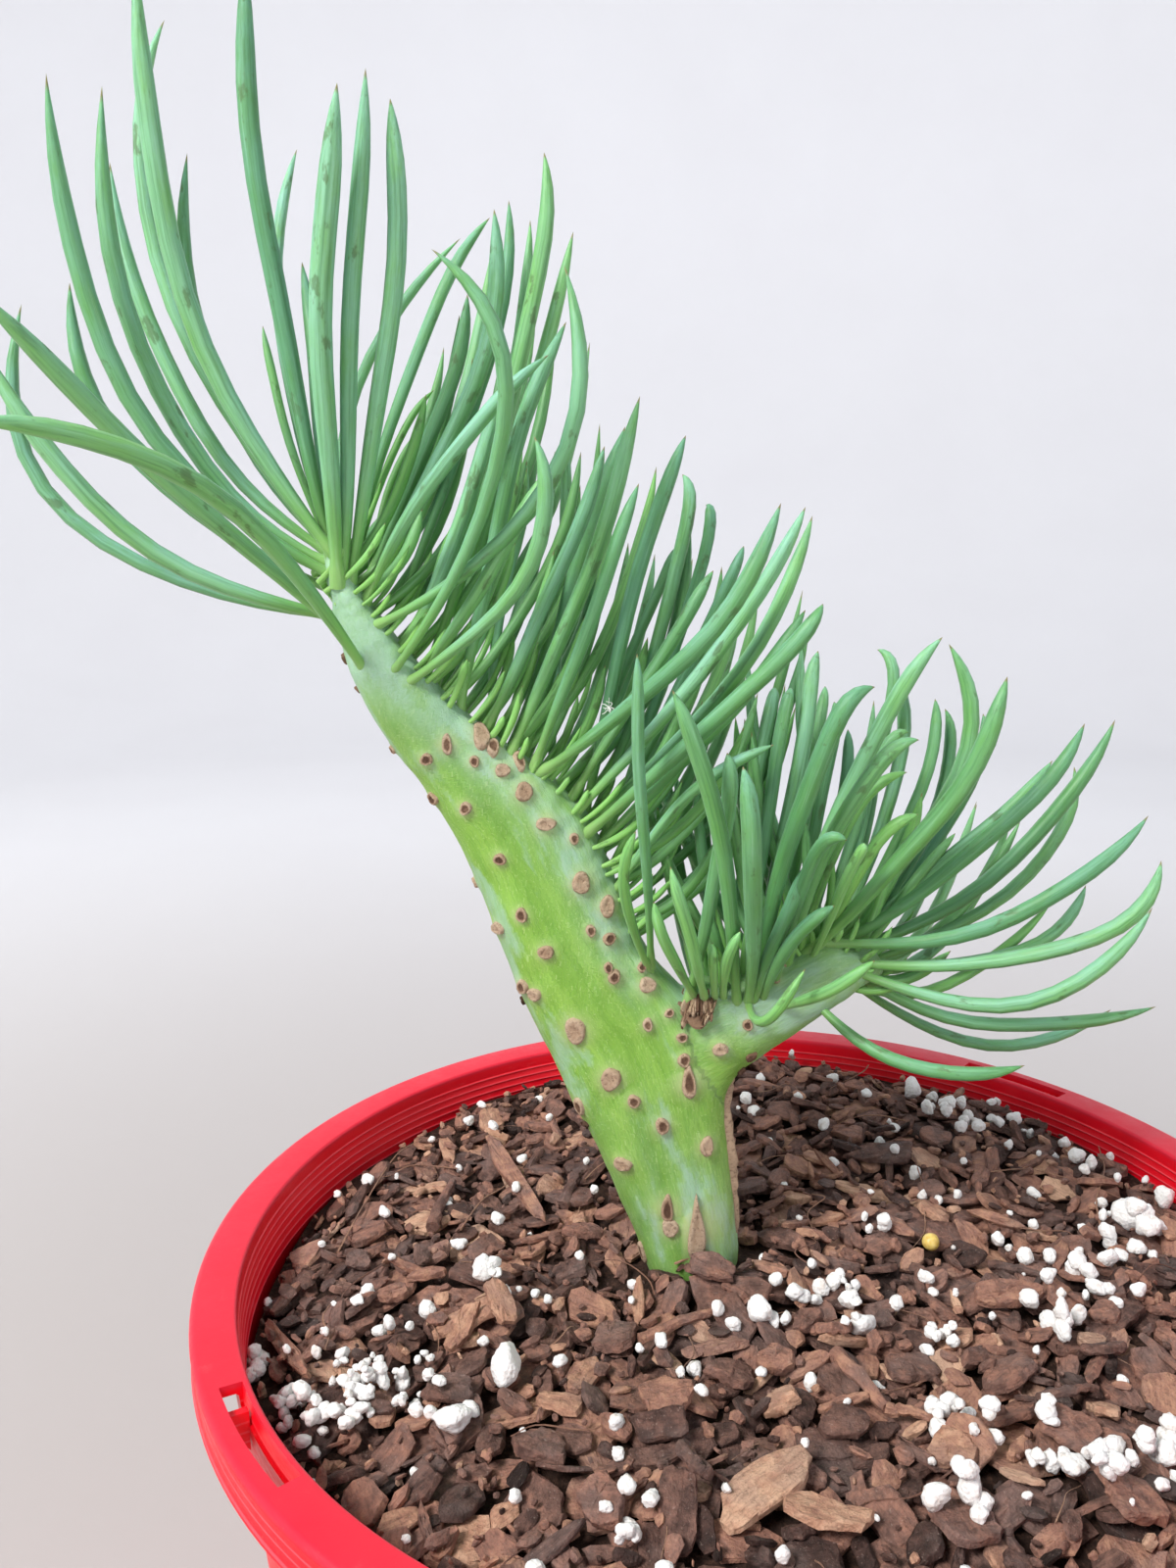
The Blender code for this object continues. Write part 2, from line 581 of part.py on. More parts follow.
def leaf_radius(share):
    """The leaf's radius along its length: narrow at the root, full in the middle, drawn to a point."""
    if share < LEAF_FULL_FROM:
        swell = sin(share / LEAF_FULL_FROM * tau / 4)
        return LEAF_RADIUS * (LEAF_ROOT_SHARE + (1.0 - LEAF_ROOT_SHARE) * swell)
    if share < LEAF_FULL_TO:
        return LEAF_RADIUS
    return LEAF_RADIUS * (1.0 - ((share - LEAF_FULL_TO) / (1.0 - LEAF_FULL_TO)) ** LEAF_POINTING)


def leaf_mesh(name, root, middle, tip, girth):
    """A tapered round leaf along the arc through three points, its root sunk into the stem."""
    bend = 2 * middle - (root + tip) / 2
    side = unit(np.cross(bend - root, tip - bend))
    is_long = np.linalg.norm(tip - root) > LONG_LEAF
    rings = []
    for share in LONG_STATIONS if is_long else SHORT_STATIONS:
        point = (1 - share) ** 2 * root + 2 * share * (1 - share) * bend + share ** 2 * tip
        heading = unit((1 - share) * (bend - root) + share * (tip - bend))
        if share == 0.0:
            point = point - heading * LEAF_SINK
        upward = np.cross(heading, side)
        radius = leaf_radius(share) * girth
        rings.append([
            point + radius * (side * cos(tau * k / LEAF_SIDES) + upward * sin(tau * k / LEAF_SIDES))
            for k in range(LEAF_SIDES)
        ])
    return loft(name, rings, tip)


def placed_leaves():
    """Every leaf as (root, middle, tip, girth)."""
    leaves = []
    for leaf in HEAD_LEAVES + CREST_LEAVES + BRANCH_LEAVES:
        spots = (leaf.root, leaf.middle, leaf.tip)
        points = [seen(spot, depth) for spot, depth in zip(spots, leaf.depths)]
        leaves.append((*points, leaf.girth))
    random = np.random.default_rng(SEED)
    for row in LEAF_ROWS:
        line = [seen(spot, row.depth) for spot in row.line]
        for i in range(row.count):
            share = (i + 0.5 + random.uniform(-ROW_JITTER, ROW_JITTER)) / row.count
            run = unit(along(line, min(share + 0.05, 1.0)) - along(line, max(share - 0.05, 0.0)))
            outward = unit(np.array([-run[2], 0.0, run[0]]))
            sideways = random.uniform(-ROW_SIDEWAYS, ROW_SIDEWAYS)
            lean = row.lean * random.uniform(*ROW_LEAN_SPREAD)
            heading = unit(outward + np.array([sideways, lean, 0.0]))
            length = random.uniform(*row.length)
            lift = np.array([0.0, 0.0, row.lift])
            root = along(line, share) - outward * ROW_SINK
            middle = root + length / 2 * unit(heading + lift * ROW_EARLY_LIFT)
            tip = root + length * unit(heading + lift)
            leaves.append((root, middle, tip, random.uniform(*ROW_GIRTH)))
    return leaves


def scar_mesh(name, spot, radius):
    """A blunt bump on the stem's front face, on the sight line through its spot."""
    foot = seen(spot, STEM_RUNGS[0].depth)
    ring = min(stem_rings(STEM_RUNGS), key=lambda r: abs(np.mean([p[2] for p in r]) - foot[2]))
    left, right = ring[STEM_SIDES // 2], ring[0]
    middle, across = (left + right) / 2, unit(right - left)
    offset = np.dot(foot - middle, across) / (np.linalg.norm(right - left) / 2)
    reach = min(abs(offset), 0.97)
    bulge = (1 - reach ** STEM_SQUARENESS) ** (1 / STEM_SQUARENESS)
    centre = seen(spot, middle[1] - (max(p[1] for p in ring) - middle[1]) * bulge)
    outward = unit(across * np.sign(offset) * reach ** 3 + np.array([0.0, -1.0, 0.0]))
    first = unit(np.cross(outward, (0.0, 0.0, 1.0)))
    second = np.cross(first, outward) * SCAR_STRETCH
    spokes = [
        radius * (first * cos(tau * k / SCAR_SIDES) + second * sin(tau * k / SCAR_SIDES))
        for k in range(SCAR_SIDES)
    ]
    levels = ((-SCAR_SINK, 1.0), (SCAR_HEIGHT / 2, 1.0), (SCAR_HEIGHT, SCAR_TOP))
    rings = [
        [centre + outward * rise + spoke * share for spoke in spokes]
        for rise, share in levels
    ]
    return loft(name, rings)


def make_plant(collection):
    """Stem, branch, leaves and scars, grown together in one body."""
    stem = add_object("crested_senecio", loft("stem", buried_rings() + stem_rings(STEM_RUNGS)), collection)
    growth = new_collection("growth")
    add_helper("branch", loft("branch", stem_rings(BRANCH_RUNGS)), growth)
    for i, (root, middle, tip, girth) in enumerate(placed_leaves()):
        add_helper(f"leaf_{i}", leaf_mesh(f"leaf_{i}", root, middle, tip, girth), growth)
    for i, (spot, radius) in enumerate(SCARS):
        add_helper(f"scar_{i}", scar_mesh(f"scar_{i}", spot, radius), growth)
    boolean_with(stem, growth, "UNION")
    return stem


def main():
    clear_scene()
    parts = new_collection("potted_senecio")
    for piece in (make_pot(parts), make_mix(parts), make_plant(parts)):
        finish_piece(piece)


main()
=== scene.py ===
from collections import namedtuple
from math import cos, radians, sin, tau

import bmesh
import bpy
import numpy as np
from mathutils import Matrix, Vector, noise
from mathutils.bvhtree import BVHTree


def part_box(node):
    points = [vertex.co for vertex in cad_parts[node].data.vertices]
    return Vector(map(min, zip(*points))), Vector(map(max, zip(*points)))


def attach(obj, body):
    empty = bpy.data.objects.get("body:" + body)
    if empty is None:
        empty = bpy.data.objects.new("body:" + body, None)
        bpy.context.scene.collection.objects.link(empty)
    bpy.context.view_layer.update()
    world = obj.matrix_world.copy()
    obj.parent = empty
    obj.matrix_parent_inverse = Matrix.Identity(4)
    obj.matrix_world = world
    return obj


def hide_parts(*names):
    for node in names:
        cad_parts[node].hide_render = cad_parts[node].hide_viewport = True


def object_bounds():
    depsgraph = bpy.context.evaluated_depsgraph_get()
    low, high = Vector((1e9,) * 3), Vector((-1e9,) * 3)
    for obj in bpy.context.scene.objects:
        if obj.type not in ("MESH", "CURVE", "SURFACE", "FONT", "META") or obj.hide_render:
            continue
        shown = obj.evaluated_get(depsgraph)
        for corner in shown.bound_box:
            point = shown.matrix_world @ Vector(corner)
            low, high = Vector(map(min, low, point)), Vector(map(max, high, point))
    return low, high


# The looks of a crested senecio in a round plastic pot. The frame's origin is the centre of the
# pot's base, +Z is up and the side that is looked at faces -Y. Lengths are in millimetres, and MM
# turns them into metres.
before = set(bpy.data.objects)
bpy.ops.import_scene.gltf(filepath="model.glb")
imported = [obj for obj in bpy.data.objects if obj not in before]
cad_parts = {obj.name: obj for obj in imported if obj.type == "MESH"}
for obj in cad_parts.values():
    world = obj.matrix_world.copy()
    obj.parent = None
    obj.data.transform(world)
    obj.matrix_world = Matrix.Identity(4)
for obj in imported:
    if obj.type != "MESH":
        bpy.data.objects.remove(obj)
cad_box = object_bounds()

MM = 0.001
SEED = 11
GOLDEN_TURN = radians(137.5)
POT_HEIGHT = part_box("pot")[1].z / MM
RIM_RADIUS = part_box("pot")[1].x / MM

# Pot
RIM_INNER_RADIUS = 92.5
RIM_THICKNESS = 1.8
RIM_ROUNDING = 1.2
RIM_INNER_ROUNDING = 0.6
SKIRT_DEPTH = 7.6
SKIRT_THICKNESS = 1.5
SKIRT_RECESS = 0.45
BEAD_HEIGHT = 1.5
WALL_THICKNESS = 1.5
WALL_TOP_RADIUS = 94.4
BASE_RADIUS = 78.0
BASE_THICKNESS = 2.0
BASE_ROUNDING = 1.0
FLOOR_FILLET = 2.0
POT_STEPS = 192
ROUND_STEPS = 6
RIDGE_COUNT = 6
RIDGE_TOP = 3.2
RIDGE_PITCH = 1.6
RIDGE_WIDTH = 0.3
RIDGE_RISE = 0.2
SLOT_LENGTH = 24.0
SLOT_WIDTH = 3.5
SLOT_RADIUS = 95.3
SLOT_CUT = (-4.0, 2.0)
SLOT_BENDS = 21
SLOT_BEARINGS = (-146.0, 44.5)
GUSSET_PLACES = (-0.62, 0.92)
GUSSET_THICKNESS = 1.3
GUSSET_DROP = 6.5
DRAIN_SIDES = 40
DRAIN_COUNT = 8
DRAIN_RADIUS = 5.0
DRAIN_CIRCLE = 62.0

# Potting mix: its surface lies low at the front left and climbs towards the back right
TOUCH_GAP = 0.35
MIX_LOW = 13.0
MIX_CLIMB = 9.0
MIX_DOME = 5.0
MIX_HIGH_BEARING = 70.0
MIX_RIPPLE = 0.8
BED_DROP = 2.3
STEM_MOUND = 4.5
STEM_MOUND_REACH = 15.0
STEM_MOUND_PLACE = (-8.0, -3.0)
BED_RINGS = 92
BED_SIDES = 220
BED_INNER_SHARE = 0.006
BED_ROUGHNESS = ((7.0, 0.9), (2.6, 0.7), (1.1, 0.4))

# Sight lines: the plant and the noted chips are placed as they look from one point in front of
# the pot, as (across, down) on an upright picture of 1200 by 1600
EYE = np.array([-31.7, -212.8, POT_HEIGHT + 124.1])
EYE_PITCH = radians(10.91)
PICTURE_CENTRE = (600.0, 800.0)
PICTURE_DISTANCE = 1300.0
PICTURE_HEIGHT = 1600.0
SENSOR = 36.0

# Stem: pairs of points on its left and right edge, from the soil up, and its thickness there
Rung = namedtuple("Rung", "left right depth thickness")
STEM_RUNGS = (
    Rung((670, 1310), (752, 1268), 2, 15),
    Rung((640, 1235), (749, 1205), 2, 15),
    Rung((608, 1165), (744, 1140), 2, 15),
    Rung((580, 1110), (742, 1085), 2, 15),
    Rung((552, 1055), (728, 1040), 2, 14),
    Rung((527, 1000), (698, 1012), 2, 14),
    Rung((503, 938), (664, 972), 2, 14),
    Rung((484, 892), (636, 916), 2, 13),
    Rung((462, 848), (614, 862), 2, 13),
    Rung((436, 805), (588, 816), 2, 13),
    Rung((404, 765), (542, 778), 2, 12),
    Rung((374, 718), (492, 742), 2, 12),
    Rung((353, 672), (446, 700), 2, 11),
    Rung((344, 632), (408, 655), 2, 10),
    Rung((338, 595), (376, 614), 2, 9),
    Rung((334, 566), (352, 578), 2, 7),
)
BRANCH_RUNGS = (
    Rung((690, 1120), (735, 1150), 3, 9),
    Rung((700, 1004), (748, 1098), 2, 13),
    Rung((738, 998), (775, 1074), 2, 12),
    Rung((776, 992), (806, 1054), 1, 11),
    Rung((812, 972), (836, 1034), 0, 11),
    Rung((842, 960), (866, 1014), 0, 10),
    Rung((866, 966), (884, 1000), 1, 9),
)
STEM_SIDES = 72
STEM_STEPS = 170
BRANCH_STEPS = 60
STEM_SQUARENESS = 2.4
STEM_VOXEL = 0.62
STEM_SMOOTHING = 7
BURIED_DEPTH = 34.0
BURIED_TAPER = 0.72

# Leaves: round, pointed and bent in one plain arc from root through middle to tip
LEAF_RADIUS = 1.55
LEAF_SIDES = 12
LEAF_SINK = 2.5
LEAF_ROOT_SHARE = 0.55
LEAF_FULL_FROM = 0.5
LEAF_FULL_TO = 0.72
LEAF_POINTING = 2.5
LEAF_NECK = 0.06
LEAF_NECK_AT = 3.0
LEAF_FLARE = 0.35
LEAF_FLARE_REACH = 0.9
LEAF_FOOT_REACH = 4.0
LEAF_GROOVE = 0.09
LEAF_GROOVE_WIDTH = 0.5
LEAF_WANDER = 0.6
WAX_SPREAD = (0.45, 1.0)
LEAF_LIMITS = [np.array(corner) / MM for corner in cad_box]
LEAF_STATIONS = np.array([0.0, 0.012, 0.03, 0.06, 0.11, 0.17, 0.24, 0.32, 0.41, 0.50, 0.59, 0.68,
                          0.76, 0.83, 0.89, 0.94, 0.975, 0.993])
Leaf = namedtuple("Leaf", "root middle tip depths girth", defaults=(1.0,))
Group = namedtuple("Group", "name girth young wax")

HEAD_LEAVES = (
    Leaf((372, 684), (200, 497), (-45, 430), (-2, -30, -52)),
    Leaf((345, 640), (165, 480), (-30, 292), (-1, -20, -40)),
    Leaf((345, 630), (125, 537), (-18, 350), (1, -9, -13)),
    Leaf((340, 628), (72, 528), (22, 310), (4, 4, 8), 0.85),
    Leaf((336, 585), (134, 402), (47, 74), (0, -9, -14)),
    Leaf((330, 572), (160, 400), (104, 87), (1, -3, -4)),
    Leaf((330, 560), (182, 400), (112, 165), (3, 6, 10), 0.9),
    Leaf((334, 556), (192, 300), (138, -48), (-1, -8, -12), 1.1),
    Leaf((330, 556), (160, 262), (168, 20), (4, 8, 13), 0.8),
    Leaf((334, 556), (215, 375), (191, 156), (5, 12, 16), 0.8),
    Leaf((336, 600), (140, 470), (71, 288), (4, 7, 9), 0.9),
    Leaf((336, 556), (272, 240), (250, -50), (0, -4, -6), 1.05),
    Leaf((338, 556), (286, 330), (303, 152), (5, 12, 18), 0.7),
    Leaf((336, 560), (290, 430), (268, 332), (3, 7, 10), 0.5),
    Leaf((342, 566), (325, 410), (308, 267), (5, 13, 17), 0.8),
    Leaf((344, 584), (331, 330), (344, 84), (-2, -11, -17), 1.2),
    Leaf((350, 592), (361, 330), (373, 69), (-1, -8, -12), 0.9),
    Leaf((358, 592), (398, 310), (398, 100), (0, -6, -9), 1.0),
)

CREST_LEAVES = (
    Leaf((402, 684), (515, 440), (440, 254), (-3, -20, -24), 0.9),
    Leaf((346, 584), (366, 395), (470, 243), (5, 14, 17), 0.7),
    Leaf((356, 592), (424, 360), (500, 222), (5, 8, 10), 0.8),
    Leaf((372, 604), (481, 392), (504, 213), (2, 2, 3), 1.1),
    Leaf((400, 634), (494, 380), (519, 204), (5, 8, 9), 0.8),
    Leaf((424, 664), (512, 420), (541, 224), (5, 7, 9), 0.8),
    Leaf((436, 684), (533, 370), (555, 155), (4, 2, 2), 1.05),
    Leaf((446, 694), (530, 440), (585, 236), (5, 12, 14), 0.9),
    Leaf((388, 636), (560, 490), (576, 271), (-2, -15, -12), 0.95),
    Leaf((470, 722), (516, 500), (578, 328), (1, -4, -4), 1.0),
    Leaf((562, 796), (572, 600), (579, 440), (5, 14, 18), 0.8),
    Leaf((420, 694), (540, 575), (545, 445), (-3, -17, -20), 0.95),
    Leaf((370, 604), (446, 430), (477, 300), (4, 5, 6), 0.95),
    Leaf((378, 604), (455, 470), (560, 362), (-1, -9, -8), 0.9),
    Leaf((360, 592), (398, 468), (443, 398), (5, 10, 13), 0.5),
    Leaf((372, 612), (396, 505), (427, 440), (5, 12, 15), 0.5),
    Leaf((414, 664), (470, 530), (512, 392), (2, -1, 0), 0.95),
    Leaf((434, 684), (500, 582), (566, 470), (-1, -8, -10), 0.9),
    Leaf((500, 744), (517, 590), (548, 490), (5, 9, 12), 0.8),
    Leaf((524, 762), (598, 585), (653, 404), (-1, -7, -7), 1.0),
    Leaf((536, 766), (590, 580), (638, 435), (3, 3, 4), 1.0),
    Leaf((500, 738), (570, 585), (617, 455), (0, -2, -2), 0.95),
    Leaf((548, 774), (606, 620), (652, 493), (-2, -11, -12), 0.85),
    Leaf((598, 824), (652, 590), (700, 444), (3, -1, 0), 0.95),
    Leaf((606, 832), (690, 590), (696, 484), (5, 10, 13), 0.95),
    Leaf((590, 812), (655, 640), (690, 558), (5, 13, 16), 0.7),
    Leaf((618, 860), (708, 600), (720, 516), (5, 7, 9), 0.8),
    Leaf((590, 804), (675, 668), (728, 582), (0, -5, -5), 0.85),
    Leaf((616, 852), (715, 655), (759, 557), (4, 4, 5), 0.8),
    Leaf((558, 784), (705, 665), (797, 513), (-2, -16, -17), 1.1),
    Leaf((594, 822), (735, 660), (822, 517), (-1, -11, -12), 0.95),
    Leaf((604, 838), (752, 684), (829, 526), (1, -6, -6), 0.95),
    Leaf((604, 846), (760, 708), (840, 616), (-2, -18, -19), 1.05),
    Leaf((612, 862), (742, 728), (822, 622), (0, -12, -13), 0.9),
    Leaf((624, 884), (690, 780), (775, 690), (1, -6, -8), 0.8),
    Leaf((630, 905), (705, 812), (790, 760), (-1, -10, -14), 0.75),
    Leaf((664, 976), (655, 800), (650, 667), (-3, -15, -20), 0.75),
    Leaf((660, 984), (638, 912), (649, 848), (-3, -14, -18), 0.7),
)

BRANCH_LEAVES = (
    Leaf((752, 1020), (730, 840), (686, 704), (-3, -17, -20), 1.0),
    Leaf((704, 1014), (738, 856), (742, 768), (-2, -11, -14), 0.95),
    Leaf((764, 1022), (770, 890), (758, 782), (-3, -20, -24), 1.1),
    Leaf((706, 1012), (682, 968), (667, 920), (-3, -12, -14), 0.7),
    Leaf((718, 1014), (703, 955), (684, 884), (-4, -14, -16), 0.75),
    Leaf((738, 1012), (742, 982), (756, 950), (-4, -10, -12), 0.65),
    Leaf((729, 1014), (728, 988), (727, 962), (-4, -9, -10), 0.6),
    Leaf((768, 1024), (796, 950), (824, 880), (-3, -11, -12), 0.85),
    Leaf((778, 1020), (808, 962), (852, 924), (-3, -13, -16), 0.8),
    Leaf((764, 1026), (783, 1040), (822, 988), (-4, -15, -17), 0.65),
    Leaf((796, 1028), (842, 1012), (893, 980), (-4, -15, -18), 0.75),
    Leaf((850, 962), (1035, 935), (1172, 832), (-2, -9, -9), 1.0),
    Leaf((866, 982), (1090, 968), (1185, 878), (-1, -11, -14), 1.0),
    Leaf((870, 990), (1050, 1020), (1176, 926), (-2, -17, -21), 0.95),
    Leaf((872, 994), (1020, 1046), (1180, 1027), (1, 3, 5), 0.9),
    Leaf((866, 1000), (1008, 1064), (1134, 1030), (3, 12, 18), 0.8),
    Leaf((830, 1020), (930, 1088), (1046, 1087), (-2, -15, -20), 0.85),
    Leaf((852, 966), (1012, 855), (1107, 738), (0, -3, -2), 1.0),
    Leaf((862, 972), (1032, 878), (1138, 734), (2, 4, 6), 1.0),
    Leaf((850, 964), (985, 864), (1074, 776), (3, 4, 6), 0.9),
    Leaf((832, 966), (960, 828), (1028, 690), (-2, -11, -13), 1.15),
    Leaf((850, 964), (976, 790), (968, 657), (3, 8, 10), 1.0),
    Leaf((792, 1000), (875, 785), (962, 650), (-1, -8, -10), 1.0),
    Leaf((772, 1030), (822, 800), (893, 701), (-2, -17, -20), 1.1),
    Leaf((800, 1000), (865, 822), (938, 755), (-1, -12, -15), 0.95),
    Leaf((812, 990), (862, 846), (926, 788), (0, -6, -8), 0.7),
    Leaf((812, 984), (880, 800), (927, 748), (3, 1, 1), 0.7),
    Leaf((826, 974), (903, 745), (895, 663), (4, 12, 16), 0.8),
    Leaf((846, 966), (916, 790), (908, 681), (4, 14, 19), 0.9),
    Leaf((858, 966), (938, 805), (954, 713), (4, 9, 12), 0.8),
    Leaf((868, 974), (958, 815), (964, 723), (4, 12, 15), 0.8),
    Leaf((870, 978), (978, 822), (1003, 728), (4, 15, 20), 0.85),
    Leaf((770, 1016), (812, 780), (835, 664), (3, 8, 11), 1.0),
    Leaf((740, 1022), (775, 785), (791, 702), (4, 12, 16), 0.9),
    Leaf((752, 1018), (791, 790), (807, 702), (3, 6, 8), 0.85),
    Leaf((786, 1004), (828, 790), (842, 700), (4, 14, 18), 0.8),
    Leaf((800, 994), (842, 800), (851, 716), (3, 9, 12), 0.85),
    Leaf((816, 984), (857, 825), (865, 744), (4, 16, 21), 0.8),
    Leaf((874, 986), (1050, 892), (1096, 782), (3, 10, 14), 0.85),
    Leaf((874, 990), (1040, 968), (1108, 903), (3, 9, 13), 0.8),
    Leaf((836, 970), (888, 872), (937, 831), (-1, -8, -10), 0.75),
    Leaf((826, 984), (866, 895), (883, 861), (-2, -11, -14), 0.65),
    Leaf((790, 1010), (826, 886), (864, 858), (-2, -15, -20), 0.8),
    Leaf((872, 982), (930, 905), (975, 850), (2, 3, 5), 0.65),
)
# Places in these lists of the leaves that are a brighter green
YOUNG_PLACES = {
    "head_leaves": (0, 1, 13),
    "crest_leaves": (14, 15, 34, 37),
    "branch_leaves": (3, 4, 5, 6, 9, 10, 25, 40, 41, 43),
}

# Leaves by rule: rows along the growing edge, on the side that faces away and between the others
CREST_LINE = ((340, 566), (372, 606), (412, 655), (458, 705), (510, 750), (560, 788), (600, 836),
              (630, 900), (655, 962))
BRANCH_LINE = ((712, 1018), (752, 1006), (800, 976), (840, 956), (878, 982), (868, 1010))
Row = namedtuple("Row", "line count depth lean lift length")
LEAF_ROWS = (
    Row(CREST_LINE, 23, 4.5, 0.95, 0.75, (48, 74)),
    Row(CREST_LINE, 7, 3.0, 0.45, 0.95, (38, 56)),
    Row(BRANCH_LINE, 14, 4.0, 0.95, 0.60, (44, 64)),
    Row(BRANCH_LINE, 5, 2.5, 0.45, 0.85, (34, 48)),
)
YOUNG_ROWS = (
    Row(CREST_LINE, 34, 2.5, 0.35, 0.55, (9, 24)),
    Row(CREST_LINE, 26, -1.5, -0.25, 0.35, (5, 15)),
    Row(BRANCH_LINE, 20, 2.0, 0.30, 0.45, (8, 20)),
    Row(BRANCH_LINE, 12, -1.5, -0.30, 0.40, (5, 12)),
)
FILL_ROWS = (
    Row(CREST_LINE, 14, 2.0, 0.30, 0.70, (30, 58)),
    Row(CREST_LINE, 10, 0.5, 0.00, 0.60, (18, 36)),
    Row(BRANCH_LINE, 8, 1.5, 0.25, 0.60, (28, 48)),
    Row(BRANCH_LINE, 6, 0.0, -0.05, 0.55, (16, 32)),
)
ROW_JITTER = 0.3
ROW_SINK = 2.5
ROW_SIDEWAYS = 0.25
ROW_LEAN_SPREAD = (0.7, 1.3)
ROW_GIRTH = (0.75, 1.0)
YOUNG_GIRTH = (0.28, 0.46)
ROW_EARLY_LIFT = 0.35

# Leaf scars: corky spots where old leaves fell, as (across, down), half width and half height
Scar = namedtuple("Scar", "spot width height taper", defaults=(0.0,))
SCARS = (
    Scar((401, 765), 0.8, 0.8), Scar((435, 775), 1.1, 1.1), Scar((456, 760), 0.9, 1.8),
    Scar((484, 777), 0.9, 1.0), Scar((491, 750), 1.5, 2.4), Scar((503, 762), 1.2, 1.6),
    Scar((513, 786), 1.4, 1.1), Scar((530, 776), 1.0, 1.9), Scar((535, 808), 1.6, 1.6),
    Scar((475, 825), 1.1, 1.2), Scar((442, 815), 1.1, 1.2), Scar((557, 841), 1.7, 1.2),
    Scar((586, 856), 0.9, 1.0), Scar((510, 877), 1.1, 1.1), Scar((484, 901), 0.9, 1.1),
    Scar((593, 901), 1.7, 1.9), Scar((532, 934), 1.1, 1.3), Scar((508, 947), 1.3, 1.2),
    Scar((603, 950), 0.9, 1.1), Scar((622, 958), 1.2, 1.1), Scar((557, 972), 1.4, 1.3),
    Scar((621, 988), 0.8, 1.1), Scar((627, 997), 1.1, 1.3), Scar((533, 1007), 1.2, 1.5),
    Scar((545, 1015), 1.3, 1.3), Scar((661, 1005), 1.5, 1.5), Scar((587, 1052), 1.9, 2.5),
    Scar((661, 1046), 0.9, 1.2), Scar((683, 1034), 0.9, 0.8), Scar((696, 1059), 1.0, 0.9),
    Scar((735, 1071), 1.4, 1.2), Scar((763, 1046), 0.9, 1.1), Scar((698, 1082), 1.2, 1.2),
    Scar((703, 1104), 1.2, 3.2, 0.3), Scar((623, 1102), 1.8, 2.2), Scar((647, 1124), 1.1, 1.3),
    Scar((676, 1149), 1.2, 1.6), Scar((591, 1129), 1.0, 2.0), Scar((721, 1170), 1.3, 1.8),
    Scar((635, 1188), 1.6, 1.4), Scar((681, 1234), 1.0, 3.0, 0.3), Scar((684, 1253), 1.4, 1.9),
    Scar((711, 1254), 1.35, 6.4, 0.75), Scar((656, 1277), 1.1, 2.6), Scar((802, 982), 0.8, 0.8),
    Scar((792, 998), 0.9, 0.9), Scar((620, 925), 1.3, 2.0), Scar((655, 987), 0.8, 1.0),
)
SCAR_SIDES = 18
SCAR_PROFILE = ((1.12, -0.9), (1.04, 0.12), (0.94, 0.42), (0.76, 0.50), (0.5, 0.40), (0.24, 0.36))
SCAR_UNEVEN = 0.04
SCAR_SIZE = 0.93
SCAR_MOUND = 0.45
CUSHION_RISE = 0.55
CUSHION_REACH = 1.8

# Cork: a torn patch at the fork, and a dry strip down the stem's right edge
FORK_CORK_TOP = ((697, 1006), (735, 1010))
FORK_CORK_LOW = (711, 1054)
FORK_CORK_GATHER = 0.3
FORK_SPLINTERS = 34
FORK_PLATE = (8.0, 4.6, 0.5)
CORK_STRIP = ((745, 1094), (739, 1112), (735, 1135), (738, 1160), (742, 1188), (744, 1215), (748, 1240),
              (750, 1258))
CORK_STRIP_DEPTH = -1.0
CORK_STRIP_SIZE = (0.65, 2.0)
EDGE_CORK = ((350, 673), (364, 704), (529, 1022), (766, 1078), (756, 1092), (598, 1146))

